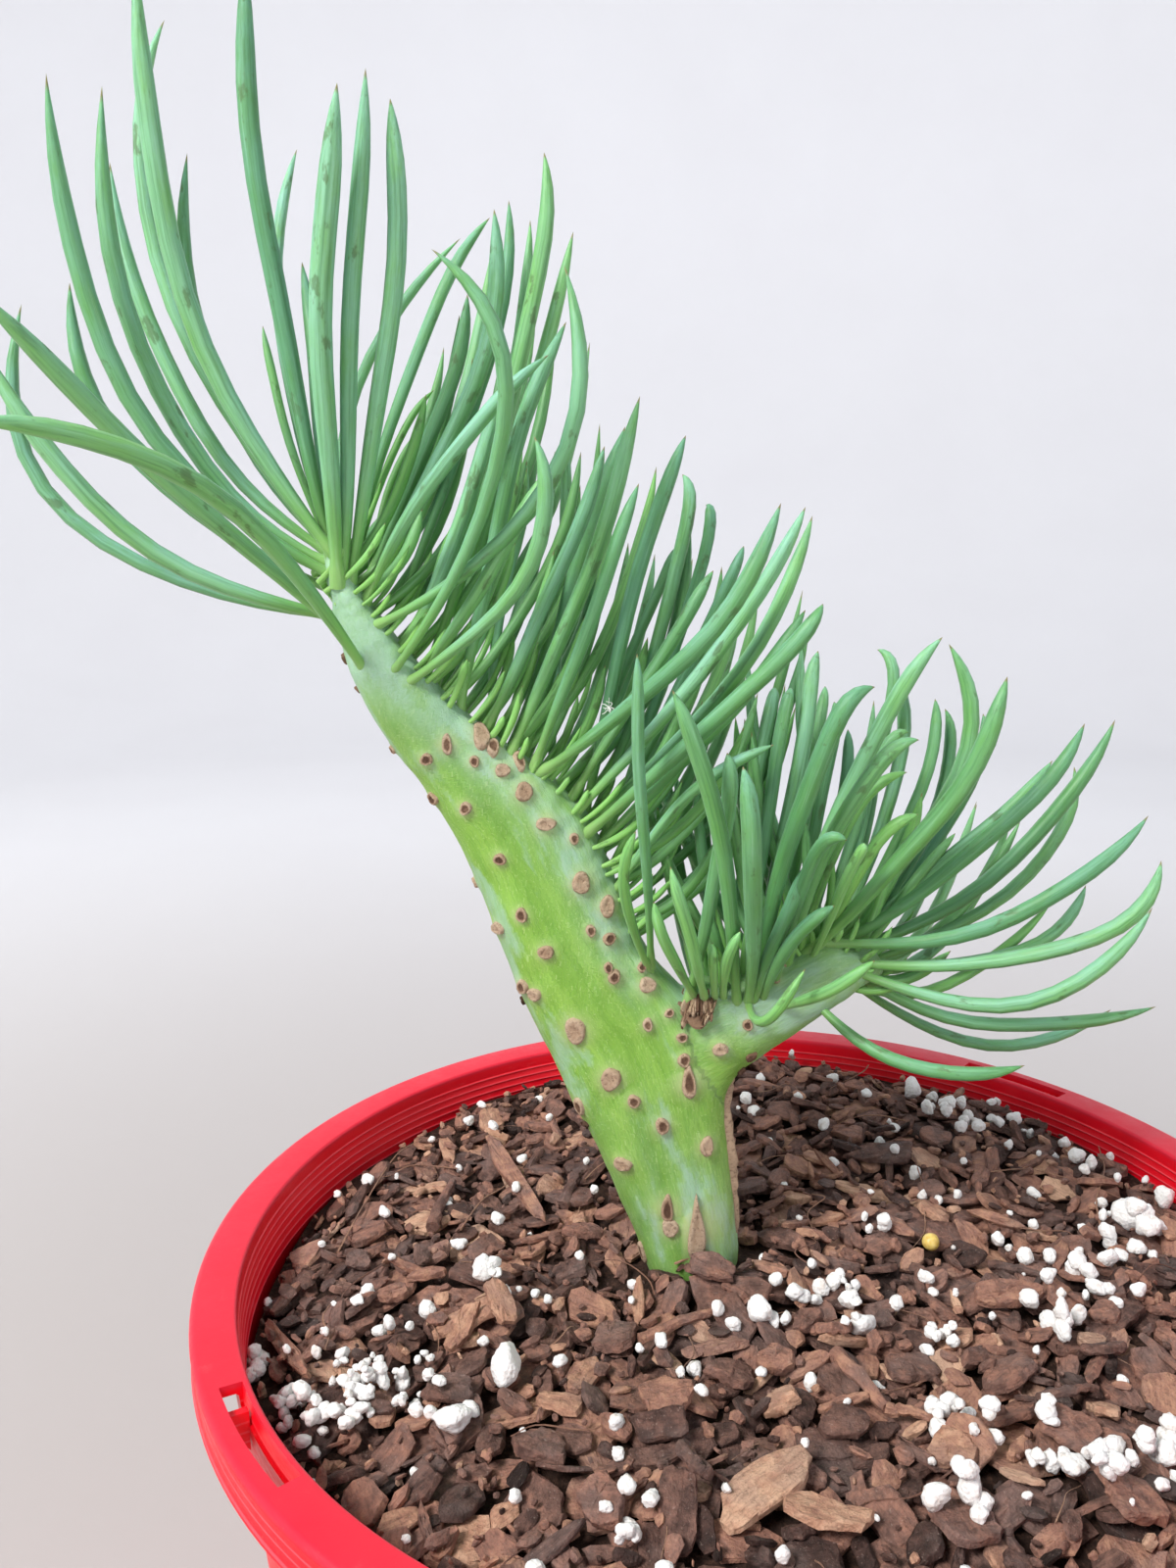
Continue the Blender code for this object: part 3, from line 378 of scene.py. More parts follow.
# Chips that the eye picks out: their two ends, width in millimetres and tone from dark to tan
Noted = namedtuple("Noted", "start end width tone")
NOTED_CHIPS = (
    Noted((726, 1566), (838, 1492), 8.0, 0.93), Noted((795, 1550), (893, 1572), 7.6, 0.84),
    Noted((717, 1404), (776, 1408), 6.2, 0.42), Noted((645, 1444), (716, 1450), 7.0, 0.62),
    Noted((700, 1382), (767, 1378), 4.0, 0.68), Noted((770, 1398), (812, 1404), 5.5, 0.60),
    Noted((826, 1372), (874, 1370), 5.0, 0.55), Noted((806, 1360), (840, 1362), 5.0, 0.44),
    Noted((900, 1398), (960, 1402), 8.5, 0.42), Noted((830, 1466), (884, 1470), 5.8, 0.35),
    Noted((698, 1312), (748, 1318), 5.0, 0.46), Noted((600, 1370), (650, 1374), 8.0, 0.45),
    Noted((640, 1474), (700, 1468), 5.5, 0.28), Noted((772, 1438), (820, 1442), 4.6, 0.88),
    Noted((943, 1494), (992, 1496), 7.0, 0.78), Noted((830, 1290), (882, 1294), 4.6, 0.45),
    Noted((446, 1362), (520, 1348), 5.4, 0.78), Noted((272, 1352), (318, 1415), 3.2, 0.70),
    Noted((452, 1394), (486, 1352), 3.6, 0.74), Noted((498, 1338), (523, 1374), 4.6, 0.80),
    Noted((497, 1172), (548, 1248), 4.2, 0.66), Noted((985, 1340), (1066, 1332), 6.0, 0.60),
    Noted((868, 1186), (940, 1184), 7.0, 0.36), Noted((560, 1228), (612, 1232), 6.0, 0.38),
    Noted((556, 1302), (604, 1296), 4.6, 0.34), Noted((578, 1262), (612, 1270), 4.5, 0.50),
    Noted((1000, 1420), (1060, 1405), 7.0, 0.50), Noted((1060, 1480), (1120, 1470), 8.0, 0.55),
    Noted((520, 1480), (585, 1500), 7.0, 0.40), Noted((430, 1440), (490, 1428), 5.0, 0.36),
    Noted((585, 1530), (640, 1548), 8.0, 0.52), Noted((690, 1590), (700, 1510), 6.0, 0.38),
    Noted((945, 1575), (1010, 1560), 8.0, 0.46), Noted((1100, 1395), (1150, 1388), 6.0, 0.33),
    Noted((1120, 1560), (1180, 1545), 9.0, 0.58), Noted((380, 1335), (420, 1322), 5.0, 0.58),
    Noted((350, 1298), (382, 1290), 4.5, 0.40), Noted((700, 1490), (716, 1548), 4.2, 0.34),
)
NOTED_STICKS = (
    Noted((653, 1380), (728, 1348), 1.1, 0.62), Noted((851, 1392), (905, 1450), 1.5, 0.64),
    Noted((905, 1450), (955, 1462), 1.0, 0.72), Noted((440, 1262), (462, 1215), 1.3, 0.45),
    Noted((575, 1240), (590, 1205), 1.4, 0.35), Noted((1010, 1300), (1075, 1318), 0.9, 0.30),
    Noted((764, 1340), (738, 1322), 0.9, 0.55), Noted((1060, 1440), (1120, 1428), 1.0, 0.40),
)

# Chips by rule, in layers from large to small
Layer = namedtuple("Layer", "count length narrowing thickness tilt sides")
CHIP_LAYERS = (
    Layer(200, (9.0, 16.5), (0.42, 0.85), (0.8, 1.9), 0.12, 20),
    Layer(560, (5.0, 9.5), (0.38, 0.90), (0.6, 1.6), 0.22, 14),
    Layer(130, (6.0, 13.0), (0.14, 0.30), (0.7, 1.4), 0.22, 14),
)
CRUMB_LAYERS = (
    Layer(900, (2.4, 5.2), (0.30, 0.90), (0.5, 1.4), 0.40, 9),
    Layer(1500, (0.8, 2.4), (0.35, 0.90), (0.4, 1.1), 0.50, 7),
)
PILE_STEP = 0.75
PILE_PRESS = 84
PILE_LIMIT = 1.5
STEEPEST = 0.85
FLAKE_PROFILE = ((-0.5, 0.86), (-0.32, 1.0), (0.30, 0.99), (0.46, 0.94), (0.5, 0.84), (0.53, 0.42))
CRUMB_PROFILE = ((-0.5, 0.80), (0.15, 1.0), (0.5, 0.70))
CRUMB_SIDES = 10
FLAKE_EDGES = (4, 8)
FLAKE_EDGE_REACH = (0.68, 1.08)
FLAKE_SOFTNESS = (14.0, 60.0)
FLAKE_CORNER = 1.22
FLAKE_TEAR = 0.055
FLAKE_BEND = 0.20
FLAKE_UNEVEN = 0.17
WALL_CLEARANCE = 1.2
STEM_CLEARANCE = 5.0

# Perlite: white granules, as (across, down) and radius, and more of them by rule
NOTED_GRANULES = (
    ((265, 1380), 1.6), ((254, 1396), 1.2), ((264, 1399), 1.2), ((288, 1416), 1.3), ((296, 1423), 1.4),
    ((290, 1444), 1.1), ((299, 1440), 1.0), ((317, 1443), 0.9), ((323, 1449), 1.0), ((332, 1377), 0.9),
    ((323, 1393), 1.0), ((375, 1331), 1.5), ((366, 1346), 1.4), ((388, 1359), 1.6), ((398, 1371), 1.4),
    ((392, 1428), 1.4), ((384, 1412), 0.8), ((373, 1417), 0.9), ((353, 1432), 1.4), ((364, 1438), 1.5),
    ((375, 1441), 1.3), ((362, 1460), 1.4), ((353, 1470), 1.2), ((405, 1444), 0.9), ((308, 1480), 1.2),
    ((320, 1484), 1.1), ((515, 1415), 3.4), ((463, 1470), 2.6), ((480, 1449), 1.5), ((494, 1315), 2.2),
    ((646, 1323), 1.1), ((748, 1361), 1.2), ((774, 1357), 2.2), ((787, 1354), 1.6), ((801, 1357), 1.0),
    ((810, 1335), 1.3), ((818, 1336), 1.2), ((865, 1340), 1.6), ((850, 1323), 1.6), ((827, 1305), 1.2),
    ((879, 1365), 2.3), ((914, 1343), 1.4), ((952, 1328), 1.1), ((974, 1333), 0.7), ((901, 1265), 1.4),
    ((895, 1413), 1.4), ((827, 1413), 1.2), ((674, 1389), 1.3), ((708, 1398), 1.3), ((694, 1409), 0.9),
    ((631, 1492), 1.1), ((666, 1547), 1.2), ((646, 1574), 1.4), ((950, 1440), 1.1), ((961, 1454), 1.2),
    ((957, 1470), 1.6), ((992, 1487), 1.0), ((988, 1547), 2.2), ((952, 1560), 2.2), ((950, 1371), 1.0),
    ((930, 1120), 2.2), ((951, 1123), 1.3), ((967, 1142), 1.6), ((986, 1150), 1.2), ((945, 1148), 1.6),
    ((912, 1157), 1.1), ((898, 1165), 1.2), ((1013, 1142), 1.2), ((1034, 1150), 1.6), ((1029, 1176), 1.2),
    ((1051, 1161), 1.0), ((934, 1200), 1.5), ((941, 1230), 1.2), ((976, 1229), 1.1), ((1086, 1173), 1.3),
    ((1076, 1179), 1.2), ((1098, 1192), 1.6), ((1112, 1200), 1.4), ((1106, 1208), 1.2), ((1168, 1216), 1.0),
    ((1188, 1229), 2.5), ((1123, 1236), 1.2), ((1149, 1258), 2.7), ((1170, 1268), 2.4), ((1133, 1268), 1.2),
    ((1143, 1279), 1.4), ((1104, 1257), 1.2), ((1054, 1261), 1.2), ((1018, 1268), 1.3), ((1030, 1271), 1.0),
    ((882, 1255), 0.9), ((900, 1266), 1.2), ((1070, 1297), 1.6), ((760, 1134), 1.5), ((769, 1138), 1.6),
    ((375, 1213), 1.5), ((479, 1147), 1.2), ((492, 1139), 0.9), ((458, 1228), 0.9), ((508, 1258), 1.3),
)
Cluster = namedtuple("Cluster", "spot reach count radius")
GRANULE_CLUSTERS = (
    Cluster((382, 1422), 8.0, 30, (0.6, 1.3)), Cluster((350, 1446), 5.0, 12, (0.6, 1.4)),
    Cluster((298, 1438), 5.0, 10, (0.7, 1.3)), Cluster((262, 1392), 4.0, 6, (0.8, 1.5)),
    Cluster((430, 1420), 6.0, 10, (0.5, 1.1)), Cluster((505, 1330), 6.0, 6, (0.6, 1.1)),
    Cluster((1095, 1315), 8.0, 12, (0.9, 2.0)), Cluster((1077, 1368), 4.5, 8, (0.9, 1.8)),
    Cluster((968, 1375), 4.0, 6, (0.8, 1.4)), Cluster((985, 1462), 6.0, 9, (0.8, 1.6)),
    Cluster((1100, 1505), 8.0, 14, (0.9, 2.0)), Cluster((1182, 1500), 7.0, 12, (1.0, 2.2)),
    Cluster((990, 1551), 3.0, 5, (0.8, 1.6)), Cluster((1152, 1265), 6.0, 8, (0.9, 1.8)),
    Cluster((980, 1150), 9.0, 12, (0.8, 1.6)), Cluster((640, 1562), 4.0, 5, (0.7, 1.2)),
    Cluster((840, 1335), 6.0, 8, (0.7, 1.4)),
)
GRANULE_COUNT = 130
GRANULE_RADIUS = (0.5, 1.5)
GRANULE_STRETCH = (0.75, 1.30)
GRANULE_FACES = 12
GRANULE_REACH = (0.70, 0.98)
GRANULE_SOFTNESS = 7.0
GRANULE_LIMIT = 1.05
GRANULE_ROUGHNESS = ((0.6, 0.20), (0.28, 0.11))
GRANULE_RISE = 0.10

PRILL_SPOT = (949, 1280)
PRILL_RADIUS = 1.6
FLUFF_SPOT = (622, 722)
FLUFF_DEPTH = -5.0
FLUFF_FIBRES = 14
FIBRE_COUNT = 46
FIBRE_LENGTH = (7.0, 22.0)
FIBRE_RADIUS = (0.09, 0.2)
NOTED_FIBRES = (
    ((345, 1290), (372, 1240), (404, 1190), (432, 1172)),
    ((470, 1266), (492, 1236), (514, 1222), (537, 1198)),
    ((688, 1302), (704, 1296), (718, 1294), (736, 1282)),
    ((332, 1390), (336, 1374), (330, 1356), (344, 1336)),
    ((1122, 1262), (1118, 1236), (1126, 1204), (1120, 1180)),
)

# Stage
FLOOR_RADIUS = 1500.0
COVE_RADIUS = 900.0
COVE_TOP = 2100.0
COVE_STEPS = 24
# Distances over which the floor's painted shade near the pot turns into painted light towards the wall
PAINTED_FALLOFF_REACH = (180.0, 1150.0)
STAGE_SIDES = 96


def unit(vector):
    return vector / np.linalg.norm(vector, axis=-1, keepdims=True)


def seen(spot, depth):
    """The point at y = depth that lies on the sight line through a spot of the picture."""
    ray = sight(spot)
    return EYE + ray * (depth - EYE[1]) / ray[1]


def sight(spot):
    """The direction from the eye through a spot of the picture."""
    forward = np.array([0.0, cos(EYE_PITCH), -sin(EYE_PITCH)])
    upward = np.array([0.0, sin(EYE_PITCH), cos(EYE_PITCH)])
    across = (spot[0] - PICTURE_CENTRE[0]) / PICTURE_DISTANCE
    down = (spot[1] - PICTURE_CENTRE[1]) / PICTURE_DISTANCE
    return forward + np.array([across, 0.0, 0.0]) - upward * down


def along(points, share):
    """The point a share of the way along a run of points, by their count."""
    place = share * (len(points) - 1)
    i = min(int(place), len(points) - 2)
    return points[i] + (points[i + 1] - points[i]) * (place - i)


def smooth_run(knots, count):
    """Points at even steps along the smooth curve through the knots."""
    knots = np.asarray(knots, float)
    padded = np.concatenate([2 * knots[:1] - knots[1:2], knots, 2 * knots[-1:] - knots[-2:-1]])
    places = np.linspace(0, len(knots) - 1, count)
    i = np.minimum(places.astype(int), len(knots) - 2)
    t = (places - i)[:, None]
    a, b, c, d = (padded[i + k] for k in range(4))
    bend = 2 * a - 5 * b + 4 * c - d
    turn = 3 * b - a - 3 * c + d
    return 0.5 * (2 * b + (c - a) * t + bend * t ** 2 + turn * t ** 3)


def arc(centre, radius, start, end, steps=ROUND_STEPS):
    """Points on an arc of a profile, with its angles in degrees."""
    turns = np.radians(np.linspace(start, end, steps))
    return [(centre[0] + radius * cos(a), centre[1] + radius * sin(a)) for a in turns]


def roughness_at(point, layers):
    """The sum of several layers of smooth noise, each with its size and height."""
    return sum(noise.noise(Vector(point) / size) * height for size, height in layers)


def tube_faces(rows, sides, tip):
    """Faces of a closed body through rings of points, ending in one more point if tip is set."""
    faces = []
    for low in range(0, (rows - 1) * sides, sides):
        for k in range(sides):
            j = (k + 1) % sides
            faces.append((low + k, low + j, low + sides + j, low + sides + k))
    faces.append(tuple(reversed(range(sides))))
    last = (rows - 1) * sides
    if tip:
        faces += [(last + k, last + (k + 1) % sides, last + sides) for k in range(sides)]
    else:
        faces.append(tuple(range(last, last + sides)))
    return faces


class Batch:
    """Points, faces and point values of many small shapes, gathered into one mesh."""

    def __init__(self):
        self.points = []
        self.faces = []
        self.values = {}
        self.count = 0

    def add(self, points, faces, **values):
        self.points.append(points)
        self.faces += [tuple(i + self.count for i in face) for face in faces]
        for name, value in values.items():
            value = np.asarray(value, float)
            shape = (len(points), 3) if value.shape[-1:] == (3,) else (len(points),)
            self.values.setdefault(name, []).append(np.broadcast_to(value, shape))
        self.count += len(points)

    def mesh(self, name):
        mesh = bpy.data.meshes.new(name)
        mesh.from_pydata((np.concatenate(self.points) * MM).tolist(), [], self.faces)
        for label, parts in self.values.items():
            store_values(mesh, label, np.concatenate(parts))
        return mesh


def store_values(mesh, label, values):
    is_vector = values.ndim == 2
    layer = mesh.attributes.new(label, "FLOAT_VECTOR" if is_vector else "FLOAT", "POINT")
    layer.data.foreach_set("vector" if is_vector else "value", values.astype(np.float32).ravel())


def add_object(name, mesh):
    obj = bpy.data.objects.new(name, mesh)
    bpy.context.scene.collection.objects.link(obj)
    return obj


def finish_piece(obj, look, node, sharp=40.0):
    """Smooths and paints a piece, lets it ride with the object and stand for its node."""
    obj.data.materials.clear()
    obj.data.materials.append(look)
    obj.data.shade_smooth()
    obj.data.set_sharp_from_angle(angle=radians(sharp))
    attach(obj, "root")
    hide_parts(node)
    return obj


def apply_modifiers(obj):
    graph = bpy.context.evaluated_depsgraph_get()
    mesh = bpy.data.meshes.new_from_object(obj.evaluated_get(graph))
    obj.modifiers.clear()
    obj.data = mesh


def cut_with(obj, cutters):
    """Cuts the cutters out of a mesh object and removes them."""
    collection = bpy.data.collections.new("cutters")
    bpy.context.scene.collection.children.link(collection)
    for cutter in cutters:
        collection.objects.link(cutter)
    modifier = obj.modifiers.new("Cut", "BOOLEAN")
    modifier.operation = "DIFFERENCE"
    modifier.operand_type = "COLLECTION"
    modifier.collection = collection
    apply_modifiers(obj)
    for cutter in cutters:
        bpy.data.objects.remove(cutter, do_unlink=True)
    bpy.data.collections.remove(collection)


class Look:
    """A material whose node tree is built with short calls."""

    def __init__(self, name, **shader):
        self.material = bpy.data.materials.new(name)
        self.material.use_nodes = True
        self.nodes = self.material.node_tree.nodes
        self.links = self.material.node_tree.links
        self.shader = self.nodes["Principled BSDF"]
        for label, value in shader.items():
            self.feed(self.shader.inputs[label.replace("_", " ")], value)

    def feed(self, socket, value):
        if isinstance(value, bpy.types.NodeSocket):
            self.links.new(value, socket)
        elif socket.type == "RGBA":
            socket.default_value = (*value, 1.0)
        else:
            socket.default_value = value

    def make(self, kind, output, inputs, **settings):
        node = self.nodes.new(kind)
        for label, value in settings.items():
            setattr(node, label, value)
        for label, value in inputs.items():
            self.feed(node.inputs[label], value)
        return node.outputs[output]

    def place(self):
        """The point of the surface in the frame, in millimetres."""
        return self.stretch(self.make("ShaderNodeTexCoord", "Object", {}), (1 / MM,) * 3)

    def value(self, name, output="Fac"):
        return self.make("ShaderNodeAttribute", output, {}, attribute_name=name)

    def stretch(self, vector, factors):
        return self.make("ShaderNodeVectorMath", "Vector", {0: vector, 1: factors}, operation="MULTIPLY")

    def noise(self, vector, scale, detail=3.0, roughness=0.5):
        inputs = {"Vector": vector, "Scale": scale, "Detail": detail, "Roughness": roughness}
        return self.make("ShaderNodeTexNoise", "Fac", inputs)

    def cells(self, vector, scale):
        return self.make("ShaderNodeTexVoronoi", "Distance", {"Vector": vector, "Scale": scale})

    def sums(self, operation, first, second, clamp=False):
        inputs = {0: first, 1: second}
        return self.make("ShaderNodeMath", "Value", inputs, operation=operation, use_clamp=clamp)

    def fade(self, value, low, high, start=0.0, end=1.0):
        inputs = {"Value": value, "From Min": low, "From Max": high, "To Min": start, "To Max": end}
        return self.make("ShaderNodeMapRange", "Result", inputs, interpolation_type="SMOOTHSTEP")

    def blend(self, share, first, second, kind="MIX"):
        inputs = {0: share, 6: first, 7: second}
        return self.make("ShaderNodeMix", 2, inputs, data_type="RGBA", blend_type=kind)

    def ramp(self, value, stops):
        output = self.make("ShaderNodeValToRGB", "Color", {"Fac": value})
        elements = output.node.color_ramp.elements
        while len(elements) < len(stops):
            elements.new(1.0)
        for element, (place, colour) in zip(elements, stops):
            element.position = place
            element.color = (*colour, 1.0)
        return output

    def bump(self, height, depth, under=None):
        """A bump of the given depth in millimetres, over another one if given."""
        inputs = {"Height": height, "Distance": depth * MM, "Strength": 1.0}
        if under is not None:
            inputs["Normal"] = under
        return self.make("ShaderNodeBump", "Normal", inputs)

    def finish(self, colour, roughness, normal):
        self.feed(self.shader.inputs["Base Color"], colour)
        self.feed(self.shader.inputs["Roughness"], roughness)
        self.feed(self.shader.inputs["Normal"], normal)
        return self.material


def plastic_look():
    """Bright red moulded plastic, a little scuffed, with dust from the mix on its inner side."""
    look = Look("red_plastic", Specular_IOR_Level=0.32)
    place = look.place()
    clouds = look.noise(place, 0.05, 4.0)
    scuffs = look.noise(look.stretch(place, (0.9, 0.9, 3.0)), 0.35, 6.0, 0.7)
    specks = look.noise(place, 1.6, 2.0)
    height = look.make("ShaderNodeSeparateXYZ", "Z", {"Vector": place})
    # Below the rim's top face the red is deeper and purer: painted bounce light, as the red walls light each other.
    painted_bounce_below_rim = look.fade(height, POT_HEIGHT - 0.4, POT_HEIGHT - 1.4)
    red = look.blend(clouds, (0.72, 0.014, 0.036), (0.78, 0.022, 0.052))
    red = look.blend(painted_bounce_below_rim, red, (0.86, 0.003, 0.016))
    # Paler lines along the ridges under the rim: painted highlight where the ridges catch the light.
    past_ridge = look.sums("ADD", height, RIDGE_PITCH * RIDGE_COUNT + RIDGE_TOP - POT_HEIGHT)
    off_ridge = look.sums("PINGPONG", past_ridge, RIDGE_PITCH / 2)
    ridge_highlight = look.sums("MULTIPLY", look.fade(off_ridge, 0.10, 0.26, 0.45, 0.0), look.fade(past_ridge, 0.6, 1.2))
    highest = POT_HEIGHT - RIDGE_TOP
    ridge_highlight = look.sums("MULTIPLY", ridge_highlight, look.fade(height, highest + 0.4, highest + 0.9, 1.0, 0.0))
    red = look.blend(ridge_highlight, red, (0.86, 0.13, 0.17))
    dust = look.sums("MULTIPLY", look.fade(scuffs, 0.58, 0.75), 0.10)
    grit = look.sums("MULTIPLY", look.fade(specks, 0.70, 0.78), 0.35)
    colour = look.blend(dust, red, (0.86, 0.28, 0.28))
    colour = look.blend(grit, colour, (0.45, 0.10, 0.08))
    roughness = look.fade(scuffs, 0.3, 0.8, 0.30, 0.52)
    normal = look.bump(look.noise(place, 2.2, 3.0), 0.015)
    return look.finish(colour, roughness, look.bump(clouds, 0.25, normal))


def soil_look():
    """Fine dark crumbs of bark between the chips."""
    look = Look("mix_fines", Specular_IOR_Level=0.25)
    place = look.place()
    crumbs = look.noise(place, 0.9, 8.0, 0.7)
    colour = look.ramp(crumbs, ((0.30, (0.014, 0.007, 0.005)), (0.52, (0.045, 0.023, 0.016)),
                                (0.68, (0.12, 0.062, 0.042)), (0.80, (0.26, 0.15, 0.10))))
    normal = look.bump(crumbs, 0.9)
    return look.finish(colour, 0.9, look.bump(look.noise(place, 3.5, 4.0), 0.25, normal))


def bark_look():
    """Pine bark: each flake has its own tone and fine fibres lie along it."""
    look = Look("bark", Specular_IOR_Level=0.3)
    grain = look.value("grain", "Vector")
    fibres = look.noise(look.stretch(grain, (0.30, 1.7, 1.7)), 1.0, 8.0, 0.72)
    blotches = look.noise(grain, 0.42, 6.0, 0.65)
    pits = look.noise(grain, 2.1, 4.0, 0.6)
    weathered = look.noise(look.place(), 0.11, 3.0)
    shifted = look.sums("ADD", look.value("tone"), look.fade(blotches, 0.25, 0.75, -0.17, 0.17))
    base = look.ramp(shifted, ((0.0, (0.022, 0.012, 0.010)), (0.25, (0.080, 0.042, 0.034)),
                               (0.45, (0.205, 0.108, 0.084)), (0.62, (0.345, 0.170, 0.122)),
                               (0.80, (0.500, 0.270, 0.178)), (1.0, (0.660, 0.410, 0.280))))
    base = look.blend(look.fade(weathered, 0.48, 0.62, 0.0, 0.32), base, (0.215, 0.160, 0.148))
    streaked = look.blend(look.fade(fibres, 0.36, 0.54, 0.34, 0.0), base, (0.040, 0.021, 0.017))
    streaked = look.blend(look.fade(fibres, 0.58, 0.74, 0.0, 0.22), streaked, (0.46, 0.32, 0.26))
    colour = look.blend(look.fade(pits, 0.62, 0.74, 0.0, 0.55), streaked, (0.03, 0.016, 0.012))
    colour = look.blend(look.fade(pits, 0.40, 0.30, 0.0, 0.30), colour, (0.48, 0.36, 0.31))
    normal = look.bump(fibres, 0.22)
    normal = look.bump(pits, 0.22, normal)
    normal = look.bump(blotches, 0.9, normal)
    return look.finish(colour, look.fade(blotches, 0.3, 0.8, 0.55, 0.9), normal)


def perlite_look():
    """White, dull, puffed glass with pits and a trace of dirt."""
    look = Look("perlite", Specular_IOR_Level=0.4, Subsurface_Weight=0.35,
                Subsurface_Radius=(1.0, 0.95, 0.9), Subsurface_Scale=0.0008)
    place = look.place()
    pits = look.cells(place, 1.5)
    dirt = look.noise(place, 0.55, 5.0, 0.6)
    colour = look.blend(look.fade(dirt, 0.50, 0.72, 0.0, 0.5), (0.88, 0.87, 0.86), (0.46, 0.36, 0.29))
    colour = look.blend(look.fade(pits, 0.0, 0.16, 0.25, 0.0), colour, (0.55, 0.50, 0.46))
    return look.finish(colour, 0.75, look.bump(look.noise(place, 2.2, 4.0), 0.22, look.bump(pits, 0.18)))


def prill_look():
    look = Look("feed_prill", Specular_IOR_Level=0.5, Subsurface_Weight=0.4,
                Subsurface_Radius=(1.0, 0.8, 0.2), Subsurface_Scale=0.001)
    mottle = look.noise(look.place(), 1.1, 4.0)
    colour = look.ramp(mottle, ((0.3, (0.55, 0.36, 0.07)), (0.7, (0.80, 0.62, 0.20))))
    return look.finish(colour, 0.4, look.bump(mottle, 0.1))


def leaf_look():
    """Green flesh under a pale blue-green wax, which is thin at the root and rubbed off in places, with painted
    sheen: more wax shows on the sides that face up.
    """
    look = Look("waxy_leaf", Specular_IOR_Level=0.42, Subsurface_Weight=0.2,
                Subsurface_Radius=(0.35, 0.8, 0.15), Subsurface_Scale=0.0025,
                Sheen_Weight=0.12, Sheen_Roughness=0.5, Sheen_Tint=(0.75, 0.95, 0.88))
    grain = look.value("grain", "Vector")
    share = look.value("share")
    tint = look.value("tint")
    young = look.value("young")
    patches = look.noise(look.stretch(grain, (0.34, 0.34, 0.075)), 1.0, 6.0, 0.65)
    streaks = look.noise(look.stretch(grain, (1.7, 1.7, 0.045)), 1.0, 5.0, 0.65)
    spots = look.noise(look.stretch(grain, (0.36, 0.36, 0.15)), 1.0, 4.0, 0.6)
    # More wax on the sides that face up: painted sheen of the light from above, laid over the real wax patches.
    facing = look.make("ShaderNodeNewGeometry", "Normal", {})
    upward = look.make("ShaderNodeSeparateXYZ", "Z", {"Vector": facing})
    flesh = look.blend(tint, (0.075, 0.255, 0.038), (0.175, 0.450, 0.080))
    # Brighter green: the young leaves' own colour, and painted backlight on the far leaves.
    flesh = look.blend(young, flesh, (0.215, 0.510, 0.095))
    wax = look.blend(tint, (0.160, 0.395, 0.285), (0.275, 0.565, 0.440))
    wax_and_top_sheen = look.fade(patches, 0.28, 0.62, 0.35, 1.10)
    wax_and_top_sheen = look.sums("MULTIPLY", wax_and_top_sheen, look.fade(upward, -0.6, 0.6, 0.45, 1.1))
    wax_and_top_sheen = look.sums("MULTIPLY", wax_and_top_sheen, look.fade(share, 0.02, 0.22, 0.25, 1.0))
    wax_and_top_sheen = look.sums("MULTIPLY", wax_and_top_sheen, look.value("wax"), True)
    colour = look.blend(wax_and_top_sheen, flesh, wax)
    colour = look.blend(look.fade(streaks, 0.44, 0.68, 0.0, 0.55), colour, (0.050, 0.180, 0.055))
    colour = look.blend(look.fade(streaks, 0.30, 0.42, 0.22, 0.0), colour, (0.420, 0.680, 0.520))
    colour = look.blend(look.sums("MULTIPLY", look.value("foot"), 0.65), colour, (0.300, 0.500, 0.160))
    blotch = look.sums("MULTIPLY", look.fade(spots, 0.60, 0.68), look.fade(share, 0.1, 0.3, 0.0, 0.65))
    colour = look.blend(blotch, colour, (0.065, 0.130, 0.035))
    colour = look.blend(look.fade(share, 0.972, 0.99, 0.0, 0.9), colour, (0.20, 0.13, 0.05))
    roughness = look.fade(wax_and_top_sheen, 0.1, 0.9, 0.42, 0.60)
    normal = look.bump(streaks, 0.10)
    return look.finish(colour, roughness, look.bump(patches, 0.10, normal))


def stem_look():
    """Bright green skin with fine lengthwise grain, whitened by bloom towards the growing edge."""
    look = Look("stem_skin", Specular_IOR_Level=0.45, Subsurface_Weight=0.25,
                Subsurface_Radius=(0.5, 1.0, 0.15), Subsurface_Scale=0.003)
    grain = look.value("grain", "Vector")
    fibres = look.noise(look.stretch(grain, (2.6, 2.6, 0.16)), 1.0, 6.0, 0.7)
    bands = look.noise(look.stretch(grain, (0.17, 0.17, 0.022)), 1.0, 4.0, 0.55)
    clouds = look.noise(look.stretch(grain, (0.12, 0.12, 0.05)), 1.0, 4.0, 0.6)
    stipple = look.noise(grain, 1.8, 3.0)
    skin = look.ramp(bands, ((0.30, (0.165, 0.355, 0.042)), (0.50, (0.232, 0.455, 0.060)),
                             (0.70, (0.305, 0.545, 0.090))))
    skin = look.blend(look.fade(fibres, 0.35, 0.62, 0.48, 0.0), skin, (0.105, 0.300, 0.022))
    skin = look.blend(look.fade(stipple, 0.56, 0.70, 0.0, 0.38), skin, (0.50, 0.70, 0.27))
    patchy = look.sums("MULTIPLY", look.value("bloom"), look.fade(clouds, 0.30, 0.56, 0.30, 1.25))
    veil = look.sums("ADD", patchy, look.fade(clouds, 0.52, 0.66, 0.0, 0.75), True)
    veil = look.sums("MULTIPLY", veil, look.fade(fibres, 0.2, 0.7, 0.65, 1.0))
    colour = look.blend(veil, skin, (0.350, 0.560, 0.400))
    colour = look.blend(look.value("halo"), colour, (0.520, 0.600, 0.300))
    roughness = look.fade(veil, 0.0, 1.0, 0.38, 0.62)
    normal = look.bump(fibres, 0.22)
    return look.finish(colour, roughness, look.bump(stipple, 0.07, normal))


